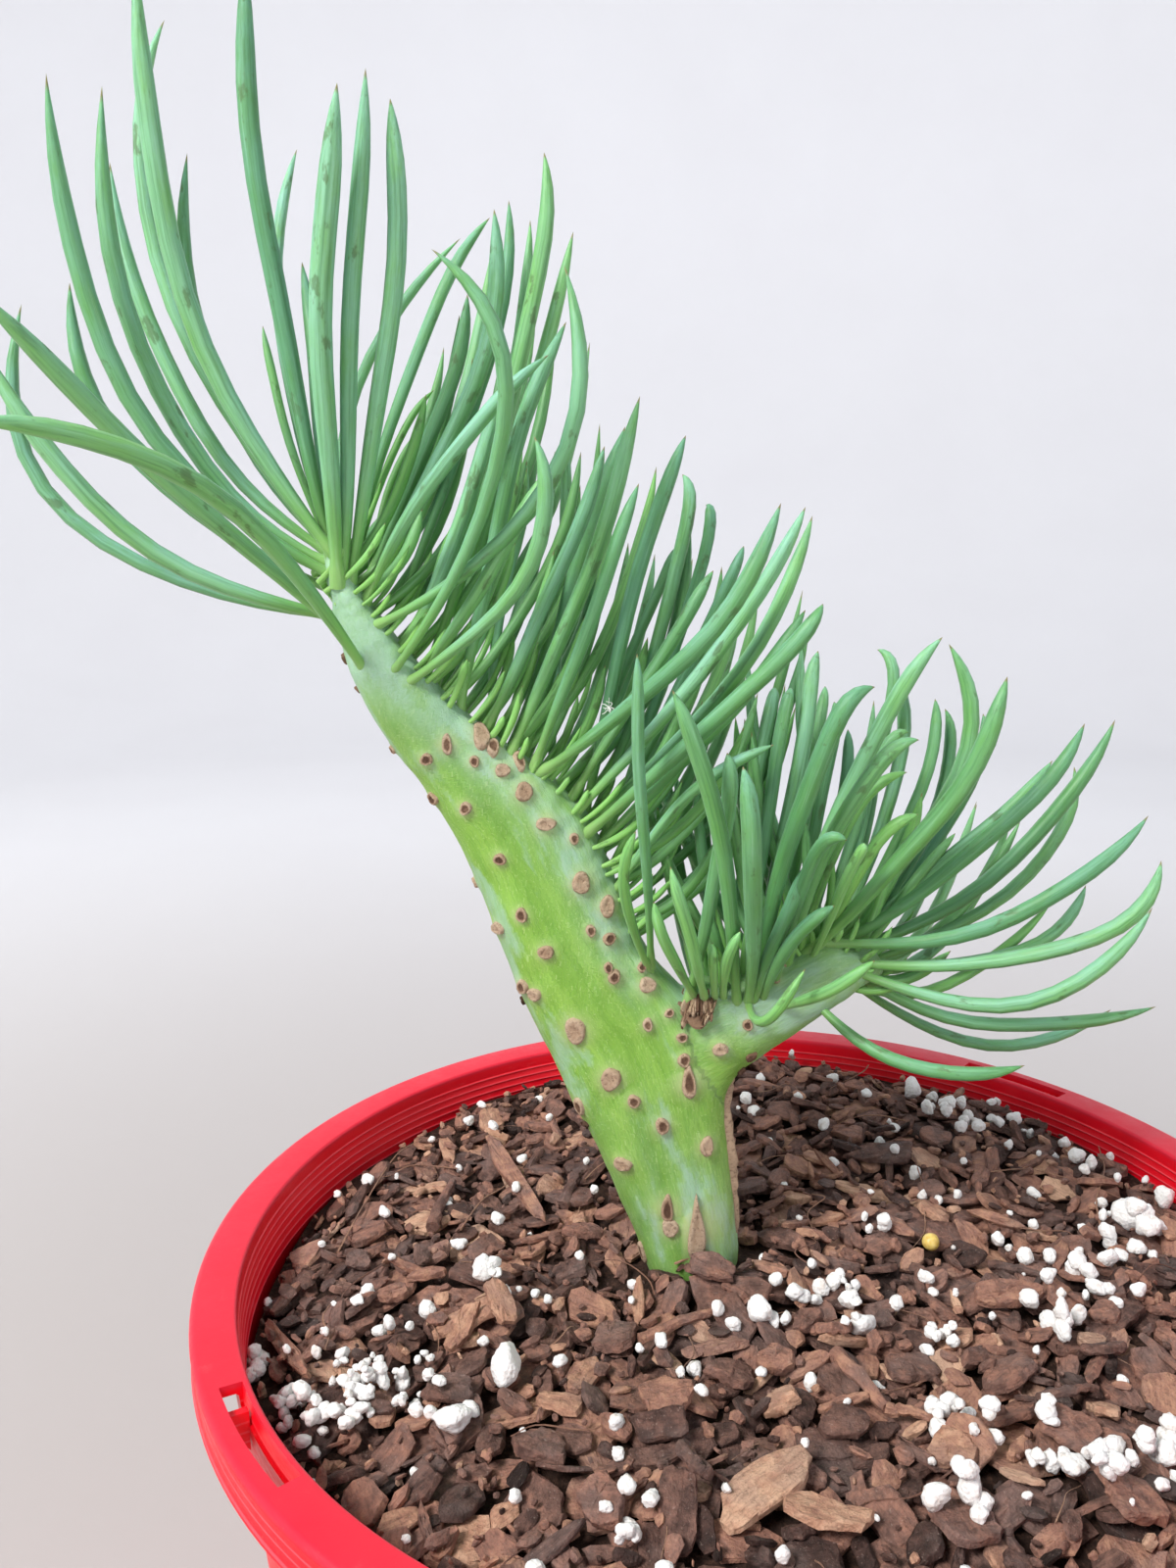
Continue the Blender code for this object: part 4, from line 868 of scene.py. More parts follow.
def cork_look():
    """Dry brown cork of leaf scars and old wounds."""
    look = Look("cork", Specular_IOR_Level=0.25)
    grain = look.value("grain", "Vector")
    crackle = look.noise(grain, 1.7, 6.0, 0.75)
    base = look.ramp(look.value("tone"), ((0.0, (0.040, 0.020, 0.014)), (0.35, (0.170, 0.095, 0.060)),
                                          (0.65, (0.420, 0.280, 0.180)), (1.0, (0.600, 0.460, 0.330))))
    colour = look.blend(look.fade(crackle, 0.34, 0.50, 0.60, 0.0), base, (0.110, 0.058, 0.036))
    return look.finish(colour, 0.85, look.bump(crackle, 0.5))


def fluff_look():
    look = Look("fluff", Specular_IOR_Level=0.3)
    mottle = look.noise(look.place(), 3.0, 2.0)
    colour = look.blend(mottle, (0.80, 0.80, 0.78), (0.92, 0.92, 0.90))
    return look.finish(colour, 0.8, look.bump(mottle, 0.03))


def wall_radius(height):
    """Radius of the pot's outer wall, which widens evenly upwards."""
    return BASE_RADIUS + (WALL_TOP_RADIUS - BASE_RADIUS) * height / POT_HEIGHT


def pot_profile():
    """From the middle of the floor up the inside, over the rim and down the outside."""
    top = POT_HEIGHT
    skirt_low = top - SKIRT_DEPTH
    channel_roof = top - RIM_THICKNESS
    fillet_top = BASE_THICKNESS + FLOOR_FILLET
    corner = wall_radius(fillet_top) - WALL_THICKNESS
    profile = [(0.0, BASE_THICKNESS)]
    profile += arc((corner - FLOOR_FILLET, fillet_top), FLOOR_FILLET, -90.0, 0.0)
    profile.append((wall_radius(skirt_low) - WALL_THICKNESS, skirt_low - 6.0))
    ridges = [top - RIDGE_TOP - RIDGE_PITCH * i for i in reversed(range(RIDGE_COUNT))]
    for height in ridges:
        face = min(wall_radius(height) - WALL_THICKNESS, RIM_INNER_RADIUS) - 0.02
        profile += [(face, height - RIDGE_WIDTH), (face - RIDGE_RISE, height), (face, height + RIDGE_WIDTH)]
    rounding = RIM_INNER_ROUNDING
    profile += arc((RIM_INNER_RADIUS + rounding, top - rounding), rounding, 180.0, 90.0)
    profile += arc((RIM_RADIUS - RIM_ROUNDING, top - RIM_ROUNDING), RIM_ROUNDING, 90.0, 0.0)
    skirt = RIM_RADIUS - SKIRT_RECESS
    bead_top = skirt_low + BEAD_HEIGHT
    profile += [(skirt, top - RIM_ROUNDING - 0.7), (skirt, bead_top + 0.5)]
    bead = SKIRT_THICKNESS / 2
    profile += arc((RIM_RADIUS - bead, bead_top - bead), bead, 45.0, 0.0, 4)
    profile += arc((RIM_RADIUS - bead, skirt_low + bead), bead, 0.0, -180.0, 9)
    profile += [(RIM_RADIUS - SKIRT_THICKNESS, channel_roof - 0.4)]
    profile += [(RIM_RADIUS - SKIRT_THICKNESS - 0.4, channel_roof)]
    profile += [(wall_radius(channel_roof) + 0.4, channel_roof), (wall_radius(channel_roof), channel_roof - 0.4)]
    turned = (wall_radius(BASE_ROUNDING) - BASE_ROUNDING, BASE_ROUNDING)
    profile += arc(turned, BASE_ROUNDING, 0.0, -90.0)
    profile.append((0.0, 0.0))
    return profile


def box_bent(name, bearing, radii, heights, half_turn, steps):
    """A closed bar bent round the pot's axis."""
    rings = []
    for angle in np.linspace(bearing - half_turn, bearing + half_turn, steps):
        outward = np.array([cos(angle), sin(angle), 0.0])
        corners = ((radii[0], heights[0]), (radii[0], heights[1]), (radii[1], heights[1]), (radii[1], heights[0]))
        rings.append([outward * radius + np.array([0.0, 0.0, height]) for radius, height in corners])
    batch = Batch()
    batch.add(np.array(rings).reshape(-1, 3), tube_faces(steps, 4, False))
    return batch.mesh(name)


def make_pot(look):
    mesh = bpy.data.meshes.new("pot_shell")
    profile = pot_profile()
    edges = [(i, i + 1) for i in range(len(profile) - 1)]
    mesh.from_pydata([(r * MM, 0.0, z * MM) for r, z in profile], edges, [])
    pot = add_object("pot_shell", mesh)
    screw = pot.modifiers.new("Turn", "SCREW")
    screw.axis = "Z"
    screw.angle = tau
    screw.steps = POT_STEPS
    screw.render_steps = POT_STEPS
    screw.use_merge_vertices = True
    screw.merge_threshold = 0.00001
    apply_modifiers(pot)
    cutters = []
    radii = (SLOT_RADIUS - SLOT_WIDTH / 2, SLOT_RADIUS + SLOT_WIDTH / 2)
    heights = [POT_HEIGHT + end for end in SLOT_CUT]
    for bearing in SLOT_BEARINGS:
        half = SLOT_LENGTH / SLOT_RADIUS / 2
        bar = box_bent("slot", radians(bearing), radii, heights, half, SLOT_BENDS)
        cutters.append(bpy.data.objects.new("slot", bar))
    for i in range(DRAIN_COUNT):
        cutters.append(drain_cutter(tau * (i + 0.5) / DRAIN_COUNT))
    cut_with(pot, cutters)
    return finish_piece(pot, look, "pot", 28.0)


def drain_cutter(bearing):
    bm = bmesh.new()
    bmesh.ops.create_cone(
        bm, cap_ends=True, segments=DRAIN_SIDES, radius1=DRAIN_RADIUS * MM, radius2=DRAIN_RADIUS * MM,
        depth=4 * BASE_THICKNESS * MM,
    )
    centre = (DRAIN_CIRCLE * MM * cos(bearing), DRAIN_CIRCLE * MM * sin(bearing), 0.0)
    bmesh.ops.translate(bm, verts=bm.verts, vec=centre)
    mesh = bpy.data.meshes.new("drain")
    bm.to_mesh(mesh)
    bm.free()
    return bpy.data.objects.new("drain", mesh)


def make_gussets(look):
    """Three-cornered webs under the rim, seen through its slots."""
    batch = Batch()
    inner, outer = WALL_TOP_RADIUS - 0.5, RIM_RADIUS - SKIRT_THICKNESS + 0.3
    roof = POT_HEIGHT - RIM_THICKNESS + 0.3
    for bearing in SLOT_BEARINGS:
        for place in GUSSET_PLACES:
            angle = radians(bearing) + place * SLOT_LENGTH / SLOT_RADIUS / 2
            outward = np.array([cos(angle), sin(angle), 0.0])
            aside = np.array([-sin(angle), cos(angle), 0.0]) * GUSSET_THICKNESS / 2
            corners = ((inner, roof - GUSSET_DROP), (inner, roof), (outer, roof), (outer, roof - 1.0))
            flat = np.array([outward * r + np.array([0.0, 0.0, z]) for r, z in corners])
            batch.add(np.concatenate([flat + aside, flat - aside]), tube_faces(2, 4, False))
    return finish_piece(add_object("rim_gussets", batch.mesh("rim_gussets")), look, "pot")


def mix_height(x, y):
    """Height of the potting mix's surface over the pot's base."""
    reach = np.hypot(x, y) / RIM_INNER_RADIUS
    turn = np.arctan2(y, x) - radians(MIX_HIGH_BEARING)
    climb = MIX_CLIMB * (0.5 + 0.5 * np.cos(turn)) ** 1.5 * reach ** 1.3
    dome = MIX_DOME * (1.0 - reach ** 2)
    ripple = MIX_RIPPLE * np.sin(x / 11.0 + 1.0) * np.cos(y / 13.0)
    from_stem = np.hypot(x - STEM_MOUND_PLACE[0], y - STEM_MOUND_PLACE[1]) / STEM_MOUND_REACH
    return POT_HEIGHT - MIX_LOW + climb + dome + ripple + STEM_MOUND * np.exp(-from_stem ** 2)


def mix_radius(height):
    """Radius of the mix where it lies against the pot's wall."""
    return min(wall_radius(height) - WALL_THICKNESS, RIM_INNER_RADIUS - 0.3) - TOUCH_GAP


def make_bed(look):
    """The fines that fill the pot, closed underneath, with a crumbly top."""
    angles = np.linspace(0.0, tau, BED_SIDES, endpoint=False)
    floor = BASE_THICKNESS + TOUCH_GAP
    fillet_top = floor + FLOOR_FILLET
    foot = ((mix_radius(floor) - FLOOR_FILLET, floor), (mix_radius(fillet_top), fillet_top))
    rings = [[(radius * cos(a), radius * sin(a), height) for a in angles] for radius, height in foot]
    top_radius = mix_radius(POT_HEIGHT)
    for share in np.linspace(1.0, BED_INNER_SHARE, BED_RINGS):
        ring = []
        for angle in angles:
            x, y = top_radius * share * cos(angle), top_radius * share * sin(angle)
            height = mix_height(x, y) - BED_DROP + roughness_at((x, y, 0.0), BED_ROUGHNESS)
            fit = min(1.0, mix_radius(height) / (top_radius * share))
            ring.append((x * fit, y * fit, height))
        rings.append(ring)
    centre = (0.0, 0.0, np.mean([point[2] for point in rings[-1]]))
    batch = Batch()
    points = np.concatenate([np.array(rings).reshape(-1, 3), [centre]])
    batch.add(points, tube_faces(len(rings), BED_SIDES, True))
    bed = add_object("mix_bed", batch.mesh("mix_bed"))
    return finish_piece(bed, look, "potting_mix", 70.0)


def on_mix(spot):
    """The point where a sight line meets the surface of the mix."""
    ray = unit(sight(spot))
    reach = 0.0
    for _ in range(40):
        point = EYE + ray * reach
        reach += (point[2] - mix_height(point[0], point[1])) / -ray[2] * 0.8
    return EYE + ray * reach


def mix_normal(x, y):
    step = 1.0
    slope_x = (mix_height(x + step, y) - mix_height(x - step, y)) / (2 * step)
    slope_y = (mix_height(x, y + step) - mix_height(x, y - step)) / (2 * step)
    return unit(np.array([-slope_x, -slope_y, 1.0]))


def rounded_outline(random, sides):
    """Turns, and the reach at each, of an uneven polygon with torn edges."""
    turns = tau * np.arange(sides) / sides + random.uniform(0.0, tau)
    edges = random.integers(*FLAKE_EDGES)
    facing = tau * (np.arange(edges) + random.uniform(-0.3, 0.3, edges)) / edges
    push = np.maximum(np.cos(turns[:, None] - facing), 0.0) / random.uniform(*FLAKE_EDGE_REACH, edges)
    softness = random.uniform(*FLAKE_SOFTNESS)
    reach = np.minimum((push ** softness).sum(axis=1) ** (-1.0 / softness), FLAKE_CORNER)
    return turns, reach * random.uniform(1.0 - FLAKE_TEAR, 1.0 + FLAKE_TEAR, sides)


def add_flake(batch, random, centre, normal, heading, size, tone, sides=16):
    """An uneven flat flake of (length, width, thickness) with a crisp edge and a slight bend."""
    length, width, thickness = size
    first = unit(heading - normal * np.dot(heading, normal))
    second = np.cross(normal, first)
    turns, reach = rounded_outline(random, sides)
    x = length / 2 * reach * np.cos(turns)
    y = width / 2 * reach * np.sin(turns)
    bend = random.uniform(-FLAKE_BEND, FLAKE_BEND) / length
    profile = CRUMB_PROFILE if sides < CRUMB_SIDES else FLAKE_PROFILE
    local = []
    for rise, share in profile:
        slack = random.uniform(-0.025, 0.025, (2, sides)) * width
        lift = rise * thickness + random.uniform(-FLAKE_UNEVEN, FLAKE_UNEVEN, sides) * thickness
        local.append(np.stack([x * share + slack[0], y * share + slack[1], lift], axis=1))
    local.append([[0.0, 0.0, profile[-1][0] * thickness]])
    local = np.concatenate(local)
    local[:, 2] += bend * (local[:, 0] ** 2 - (length / 4) ** 2)
    points = centre + local[:, :1] * first + local[:, 1:2] * second + local[:, 2:] * normal
    grain = local + random.uniform(0.0, 900.0, 3)
    batch.add(points, tube_faces(len(profile), sides, True), tone=tone, grain=grain)


def draw_tone(random):
    """Mostly dark to reddish brown, with a few pale flakes."""
    tone = random.normal(0.46, 0.17)
    return tone + 0.28 * (random.uniform() < 0.14)


class Pile:
    """Heights of all that lies on the mix, on a grid, so that each new piece rests on the others."""

    def __init__(self):
        steps = np.arange(-RIM_INNER_RADIUS, RIM_INNER_RADIUS, PILE_STEP)
        self.x, self.y = np.meshgrid(steps, steps, indexing="ij")
        self.top = mix_height(self.x, self.y) - BED_DROP

    def window(self, x, y, reach):
        low = [max(int((v - reach + RIM_INNER_RADIUS) / PILE_STEP), 0) for v in (x, y)]
        high = [int((v + reach + RIM_INNER_RADIUS) / PILE_STEP) + 2 for v in (x, y)]
        return slice(low[0], high[0]), slice(low[1], high[1])

    def settle(self, x, y, heading, size, tilt, limit=np.inf):
        """Lays a flat piece down. Returns its centre and normal, or nothing where the pile is too high."""
        length, width, thickness = size
        area = self.window(x, y, length / 2)
        away_x, away_y = self.x[area] - x, self.y[area] - y
        run = away_x * heading[0] + away_y * heading[1]
        side = away_y * heading[0] - away_x * heading[1]
        under = (2 * run / length) ** 2 + (2 * side / width) ** 2 < 1.0
        if under.sum() < 4:
            under = run ** 2 + side ** 2 < (2 * PILE_STEP) ** 2
        table = np.stack([away_x[under], away_y[under], np.ones(under.sum())], axis=1)
        slope_x, slope_y, _ = np.linalg.lstsq(table, self.top[area][under], rcond=None)[0]
        slopes = np.clip(np.array([slope_x, slope_y]) + tilt, -STEEPEST, STEEPEST)
        lift = self.top[area][under] - table[:, :2] @ slopes
        rest = np.percentile(lift, PILE_PRESS)
        if rest - mix_height(x, y) > limit:
            return None
        top = rest + thickness + table[:, :2] @ slopes
        self.top[area][under] = np.maximum(self.top[area][under], top)
        return np.array([x, y, rest + thickness / 2]), unit(np.array([-slopes[0], -slopes[1], 1.0]))


def scatter(batch, random, pile, layer, stem_foot):
    """A layer of flakes spread evenly over the mix, clear of the pot's wall and the stem."""
    for i in range(layer.count):
        length = random.uniform(*layer.length)
        width = length * random.uniform(*layer.narrowing)
        size = (length, width, random.uniform(*layer.thickness))
        reach = RIM_INNER_RADIUS - WALL_CLEARANCE - length / 2
        radius = reach * np.sqrt((i + random.uniform()) / layer.count)
        x, y = radius * cos(i * GOLDEN_TURN), radius * sin(i * GOLDEN_TURN)
        turn = random.uniform(0.0, tau)
        heading = np.array([cos(turn), sin(turn), 0.0])
        tilt = random.normal(0.0, layer.tilt, 2)
        tone = draw_tone(random)
        if is_at_stem(x, y, stem_foot, STEM_CLEARANCE + width * 0.3):
            continue
        laid = pile.settle(x, y, heading, size, tilt, PILE_LIMIT)
        if laid is not None:
            add_flake(batch, random, *laid, heading, size, tone, layer.sides)


def is_at_stem(x, y, stem_foot, clearance):
    run = stem_foot[1] - stem_foot[0]
    place = stem_foot[0] + run * np.clip((x - stem_foot[0][0]) / run[0], 0.0, 1.0)
    return np.hypot(x - place[0], y - place[1]) < clearance


def add_rod(batch, random, spine, radii, tone, sides=7, flatness=1.0, uneven=0.12, axis=(0.0, 0.0, 1.0)):
    """A thin rod along a run of points, uneven like a twig or a root."""
    heading = unit(np.gradient(spine, axis=0))
    side = unit(np.cross(axis, heading))
    upward = np.cross(heading, side)
    turns = tau * np.arange(sides) / sides
    wobble = random.uniform(1 - uneven, 1 + uneven, (len(spine), sides, 1))
    across = side[:, None] * np.cos(turns)[:, None] + upward[:, None] * np.sin(turns)[:, None] * flatness
    points = (spine[:, None] + across * wobble * np.asarray(radii)[:, None, None]).reshape(-1, 3)
    run = np.cumsum(np.append(0.0, np.linalg.norm(np.diff(spine, axis=0), axis=1)))
    local = np.stack([np.repeat(run, sides), np.tile(np.cos(turns), len(spine)),
                      np.tile(np.sin(turns), len(spine))], axis=1)
    batch.add(points, tube_faces(len(spine), sides, False), tone=tone, grain=local + random.uniform(0, 900, 3))


def make_chips(look, pile, stem_foot):
    random = np.random.default_rng(SEED)
    chips = Batch()
    for layer in CHIP_LAYERS:
        scatter(chips, random, pile, layer, stem_foot)
    finish_piece(add_object("bark_chips", chips.mesh("bark_chips")), look, "potting_mix", 32.0)
    noted = Batch()
    for chip in NOTED_CHIPS:
        start, end = on_mix(chip.start), on_mix(chip.end)
        centre = (start + end) / 2
        heading = unit((end - start) * (1.0, 1.0, 0.0))
        size = (np.linalg.norm(end - start), chip.width, random.uniform(1.3, 2.0))
        laid = pile.settle(centre[0], centre[1], heading, size, random.normal(0.0, 0.04, 2))
        add_flake(noted, random, *laid, heading, size, chip.tone, 22)
    finish_piece(add_object("large_chips", noted.mesh("large_chips")), look, "potting_mix", 32.0)


def make_crumbs(look, pile, stem_foot):
    random = np.random.default_rng(SEED + 7)
    crumbs = Batch()
    for layer in CRUMB_LAYERS:
        scatter(crumbs, random, pile, layer, stem_foot)
    finish_piece(add_object("bark_crumbs", crumbs.mesh("bark_crumbs")), look, "potting_mix", 32.0)


def make_sticks(look):
    """Splinters and twigs that lie on the mix, and fine roots that arch over it."""
    random = np.random.default_rng(SEED + 1)
    sticks = Batch()
    for stick in NOTED_STICKS:
        start, end = on_mix(stick.start), on_mix(stick.end)
        lift = np.array([0.0, 0.0, 2.0])
        middle = (start + end) / 2 + lift * 1.3
        spine = smooth_run([start + lift, middle, end + lift], 12)
        spine += random.normal(0.0, 0.12, spine.shape)
        add_rod(sticks, random, spine, np.linspace(stick.width, stick.width * 0.6, 12), stick.tone, 8)
    finish_piece(add_object("wood_sticks", sticks.mesh("wood_sticks")), look, "potting_mix")
    fibres = Batch()
    for spots in NOTED_FIBRES:
        knots = [on_mix(spot) + np.array([0.0, 0.0, 2.4]) for spot in spots]
        add_rod(fibres, random, smooth_run(knots, 22), np.linspace(0.22, 0.1, 22), 0.80, 5)
    for i in range(FIBRE_COUNT):
        radius = (RIM_INNER_RADIUS - 12.0) * np.sqrt((i + 0.5) / FIBRE_COUNT)
        bearing = i * GOLDEN_TURN
        length = random.uniform(*FIBRE_LENGTH)
        turn = random.uniform(0.0, tau)
        run = length / 2 * np.array([cos(turn), sin(turn)])
        knots = []
        for share in (-1.0, -0.35, 0.35, 1.0):
            x, y = np.array([radius * cos(bearing), radius * sin(bearing)]) + run * share
            x, y = (x, y) + random.normal(0.0, length * 0.08, 2)
            lift = 2.2 - 1.6 * abs(share) + random.uniform(-0.3, 1.2)
            knots.append(np.array([x, y, mix_height(x, y) + lift]))
        thickness = random.uniform(*FIBRE_RADIUS)
        tone = random.uniform(0.55, 0.95)
        add_rod(fibres, random, smooth_run(knots, 14), np.linspace(thickness, thickness * 0.5, 14), tone, 5)
    finish_piece(add_object("root_fibres", fibres.mesh("root_fibres")), look, "potting_mix")


def ball():
    bm = bmesh.new()
    bmesh.ops.create_icosphere(bm, subdivisions=3, radius=1.0)
    points = np.array([v.co for v in bm.verts])
    faces = [tuple(v.index for v in face.verts) for face in bm.faces]
    bm.free()
    return points, faces


def add_granule(batch, random, centre, radius):
    """A puffed granule: an uneven block with rounded corners and a lumpy skin."""
    points, faces = BALL
    offset = random.uniform(0.0, 500.0, 3)
    facing = unit(random.normal(0.0, 1.0, (GRANULE_FACES, 3)))
    push = np.maximum(points @ facing.T, 0.0) / random.uniform(*GRANULE_REACH, GRANULE_FACES)
    blunt = (push ** GRANULE_SOFTNESS).sum(axis=1) + GRANULE_LIMIT ** -GRANULE_SOFTNESS
    lumps = np.array([roughness_at(p + offset, GRANULE_ROUGHNESS) for p in points])
    swell = blunt ** (-1.0 / GRANULE_SOFTNESS) * (1.0 + lumps)
    stretch = random.uniform(*GRANULE_STRETCH, 3)
    turn = random.uniform(0.0, tau)
    local = points * swell[:, None] * stretch * radius
    across = local[:, 0] * cos(turn) - local[:, 1] * sin(turn)
    away = local[:, 0] * sin(turn) + local[:, 1] * cos(turn)
    batch.add(centre + np.stack([across, away, local[:, 2]], axis=1), faces)


def add_resting_granule(batch, random, pile, x, y, radius):
    """A granule on top of what lies at a place, a little sunk in."""
    size = (radius * 1.4, radius * 1.4, radius)
    centre, _ = pile.settle(x, y, np.array([1.0, 0.0, 0.0]), size, np.zeros(2))
    add_granule(batch, random, centre + np.array([0.0, 0.0, radius * GRANULE_RISE]), radius)


def make_granules(look, pile):
    random = np.random.default_rng(SEED + 2)
    noted = Batch()
    for spot, radius in NOTED_GRANULES:
        centre = on_mix(spot)
        shrink = min(1.0, (RIM_INNER_RADIUS - 0.8 - radius) / np.hypot(centre[0], centre[1]))
        add_resting_granule(noted, random, pile, *(centre[:2] * shrink), radius)
    for cluster in GRANULE_CLUSTERS:
        middle = on_mix(cluster.spot)[:2]
        for _ in range(cluster.count):
            radius = random.uniform(*cluster.radius)
            centre = middle + random.normal(0.0, cluster.reach / 2, 2)
            shrink = min(1.0, (RIM_INNER_RADIUS - 0.8 - radius) / np.hypot(*centre))
            add_resting_granule(noted, random, pile, *(centre * shrink), radius)
    piece = add_object("perlite_granules", noted.mesh("perlite_granules"))
    finish_piece(piece, look, "potting_mix", 80.0)
    spread = Batch()
    for i in range(GRANULE_COUNT):
        radius = random.uniform(*GRANULE_RADIUS)
        reach = (RIM_INNER_RADIUS - 1.0 - radius) * np.sqrt((i + random.uniform()) / GRANULE_COUNT)
        bearing = i * GOLDEN_TURN
        add_resting_granule(spread, random, pile, reach * cos(bearing), reach * sin(bearing), radius)
    piece = add_object("perlite_grit", spread.mesh("perlite_grit"))
    return finish_piece(piece, look, "potting_mix", 80.0)


def make_prill(look, pile):
    points, faces = BALL
    swell = np.array([1.0 + noise.noise(Vector(p) * 1.7) * 0.05 for p in points])
    spot = on_mix(PRILL_SPOT)
    size = (PRILL_RADIUS, PRILL_RADIUS, PRILL_RADIUS * 2)
    centre, _ = pile.settle(spot[0], spot[1], np.array([1.0, 0.0, 0.0]), size, np.zeros(2))
    batch = Batch()
    batch.add(centre + points * swell[:, None] * PRILL_RADIUS, faces)
    prill = add_object("feed_prill", batch.mesh("feed_prill"))
    return finish_piece(prill, look, "potting_mix", 80.0)


def rung_run(rungs, count):
    """Left edge, right edge and thickness at even steps along a stem."""
    knots = []
    for rung in rungs:
        knots.append([*seen(rung.left, rung.depth), *seen(rung.right, rung.depth), rung.thickness])
    run = smooth_run(knots, count)
    return run[:, :3], run[:, 3:6], run[:, 6]


def stem_rings(left, right, thickness):
    """Rounded flat sections between edge points, as thick as given along Y."""
    turns = tau * np.arange(STEM_SIDES) / STEM_SIDES
    across = np.sign(np.cos(turns)) * abs(np.cos(turns)) ** (2 / STEM_SQUARENESS)
    deep = np.sign(np.sin(turns)) * abs(np.sin(turns)) ** (2 / STEM_SQUARENESS)
    middle, half = (left + right) / 2, (right - left) / 2
    back = np.zeros((len(left), 1, 3))
    back[:, 0, 1] = thickness / 2
    return middle[:, None] + half[:, None] * across[:, None] + back * deep[:, None]


def buried_run():
    """Edges and thickness of the end below the surface, which narrows and ends flat."""
    foot = STEM_RUNGS[0]
    left, right = seen(foot.left, foot.depth), seen(foot.right, foot.depth)
    middle = (left + right) / 2
    rows = []
    for share in (1.0, 0.75, 0.5, 0.25):
        narrow = 1.0 + (BURIED_TAPER - 1.0) * share
        sink = np.array([0.0, 0.0, BURIED_DEPTH * share])
        level = np.array([(right - left)[0] / 2, 0.0, (right - left)[2] / 2 * (1.0 - share)])
        rows.append([*(middle - level * narrow - sink), *(middle + level * narrow - sink), foot.thickness * narrow])
    rows = np.array(rows)
    return rows[:, :3], rows[:, 3:6], rows[:, 6]


def centre_line(run):
    """Middle, unit across, half width and length so far at each step of a stem."""
    left, right, _ = run
    middle = (left + right) / 2
    length = np.cumsum(np.append(0.0, np.linalg.norm(np.diff(middle, axis=0), axis=1)))
    return middle, unit(right - left), np.linalg.norm(right - left, axis=1) / 2, length


def nearest(points, targets):
    """For each point, the place of the nearest target and its distance."""
    places = np.empty(len(points), int)
    gaps = np.empty(len(points))
    for start in range(0, len(points), 4000):
        part = points[start:start + 4000]
        square = ((part[:, None] - targets) ** 2).sum(axis=2)
        places[start:start + 4000] = square.argmin(axis=1)
        gaps[start:start + 4000] = np.sqrt(square.min(axis=1))
    return places, gaps


def stem_body(stem_run, branch_run):
    """Stem and branch grown together: joined on a fine grid and smoothed over."""
    batch = Batch()
    joined = [np.concatenate(pair) for pair in zip(buried_run(), stem_run)]
    for run in (joined, branch_run):
        rings = stem_rings(*run)
        ends = (rings[0].mean(axis=0), rings[-1].mean(axis=0))
        middle = np.stack([rings[-1] * share + ends[1] * (1 - share) for share in (0.85, 0.5)])
        rise = unit(rings[-1].mean(axis=0) - rings[-4].mean(axis=0)) * run[2][-1] / 2
        middle += rise * np.array([0.5, 0.9])[:, None, None]
        rings = np.concatenate([rings, middle])
        points = np.concatenate([rings.reshape(-1, 3), [ends[1] + rise]])
        batch.add(points, tube_faces(len(rings), STEM_SIDES, True))
    stem = add_object("senecio_stem", batch.mesh("senecio_stem"))
    remesh = stem.modifiers.new("Grid", "REMESH")
    remesh.mode = "VOXEL"
    remesh.voxel_size = STEM_VOXEL * MM
    smooth = stem.modifiers.new("Smooth", "SMOOTH")
    smooth.iterations = STEM_SMOOTHING
    apply_modifiers(stem)
    return stem


def mesh_points(mesh):
    points = np.empty(len(mesh.vertices) * 3)
    mesh.vertices.foreach_get("co", points)
    return points.reshape(-1, 3) / MM


def mesh_normals(mesh):
    normals = np.empty(len(mesh.vertices) * 3)
    mesh.vertex_normals.foreach_get("vector", normals)
    return normals.reshape(-1, 3)


def tree_of(mesh):
    faces = [tuple(polygon.vertices) for polygon in mesh.polygons]
    return BVHTree.FromPolygons([Vector(p) for p in mesh_points(mesh)], faces)


def on_tree(tree, spot):
    """Where a sight line meets a surface first, with its normal, or the nearest place to it."""
    ray = unit(sight(spot))
    place, normal, _, _ = tree.ray_cast(Vector(EYE), Vector(ray))
    if place is None:
        place, normal, _, _ = tree.find_nearest(Vector(seen(spot, STEM_RUNGS[0].depth)))
    return np.array(place), np.array(normal)


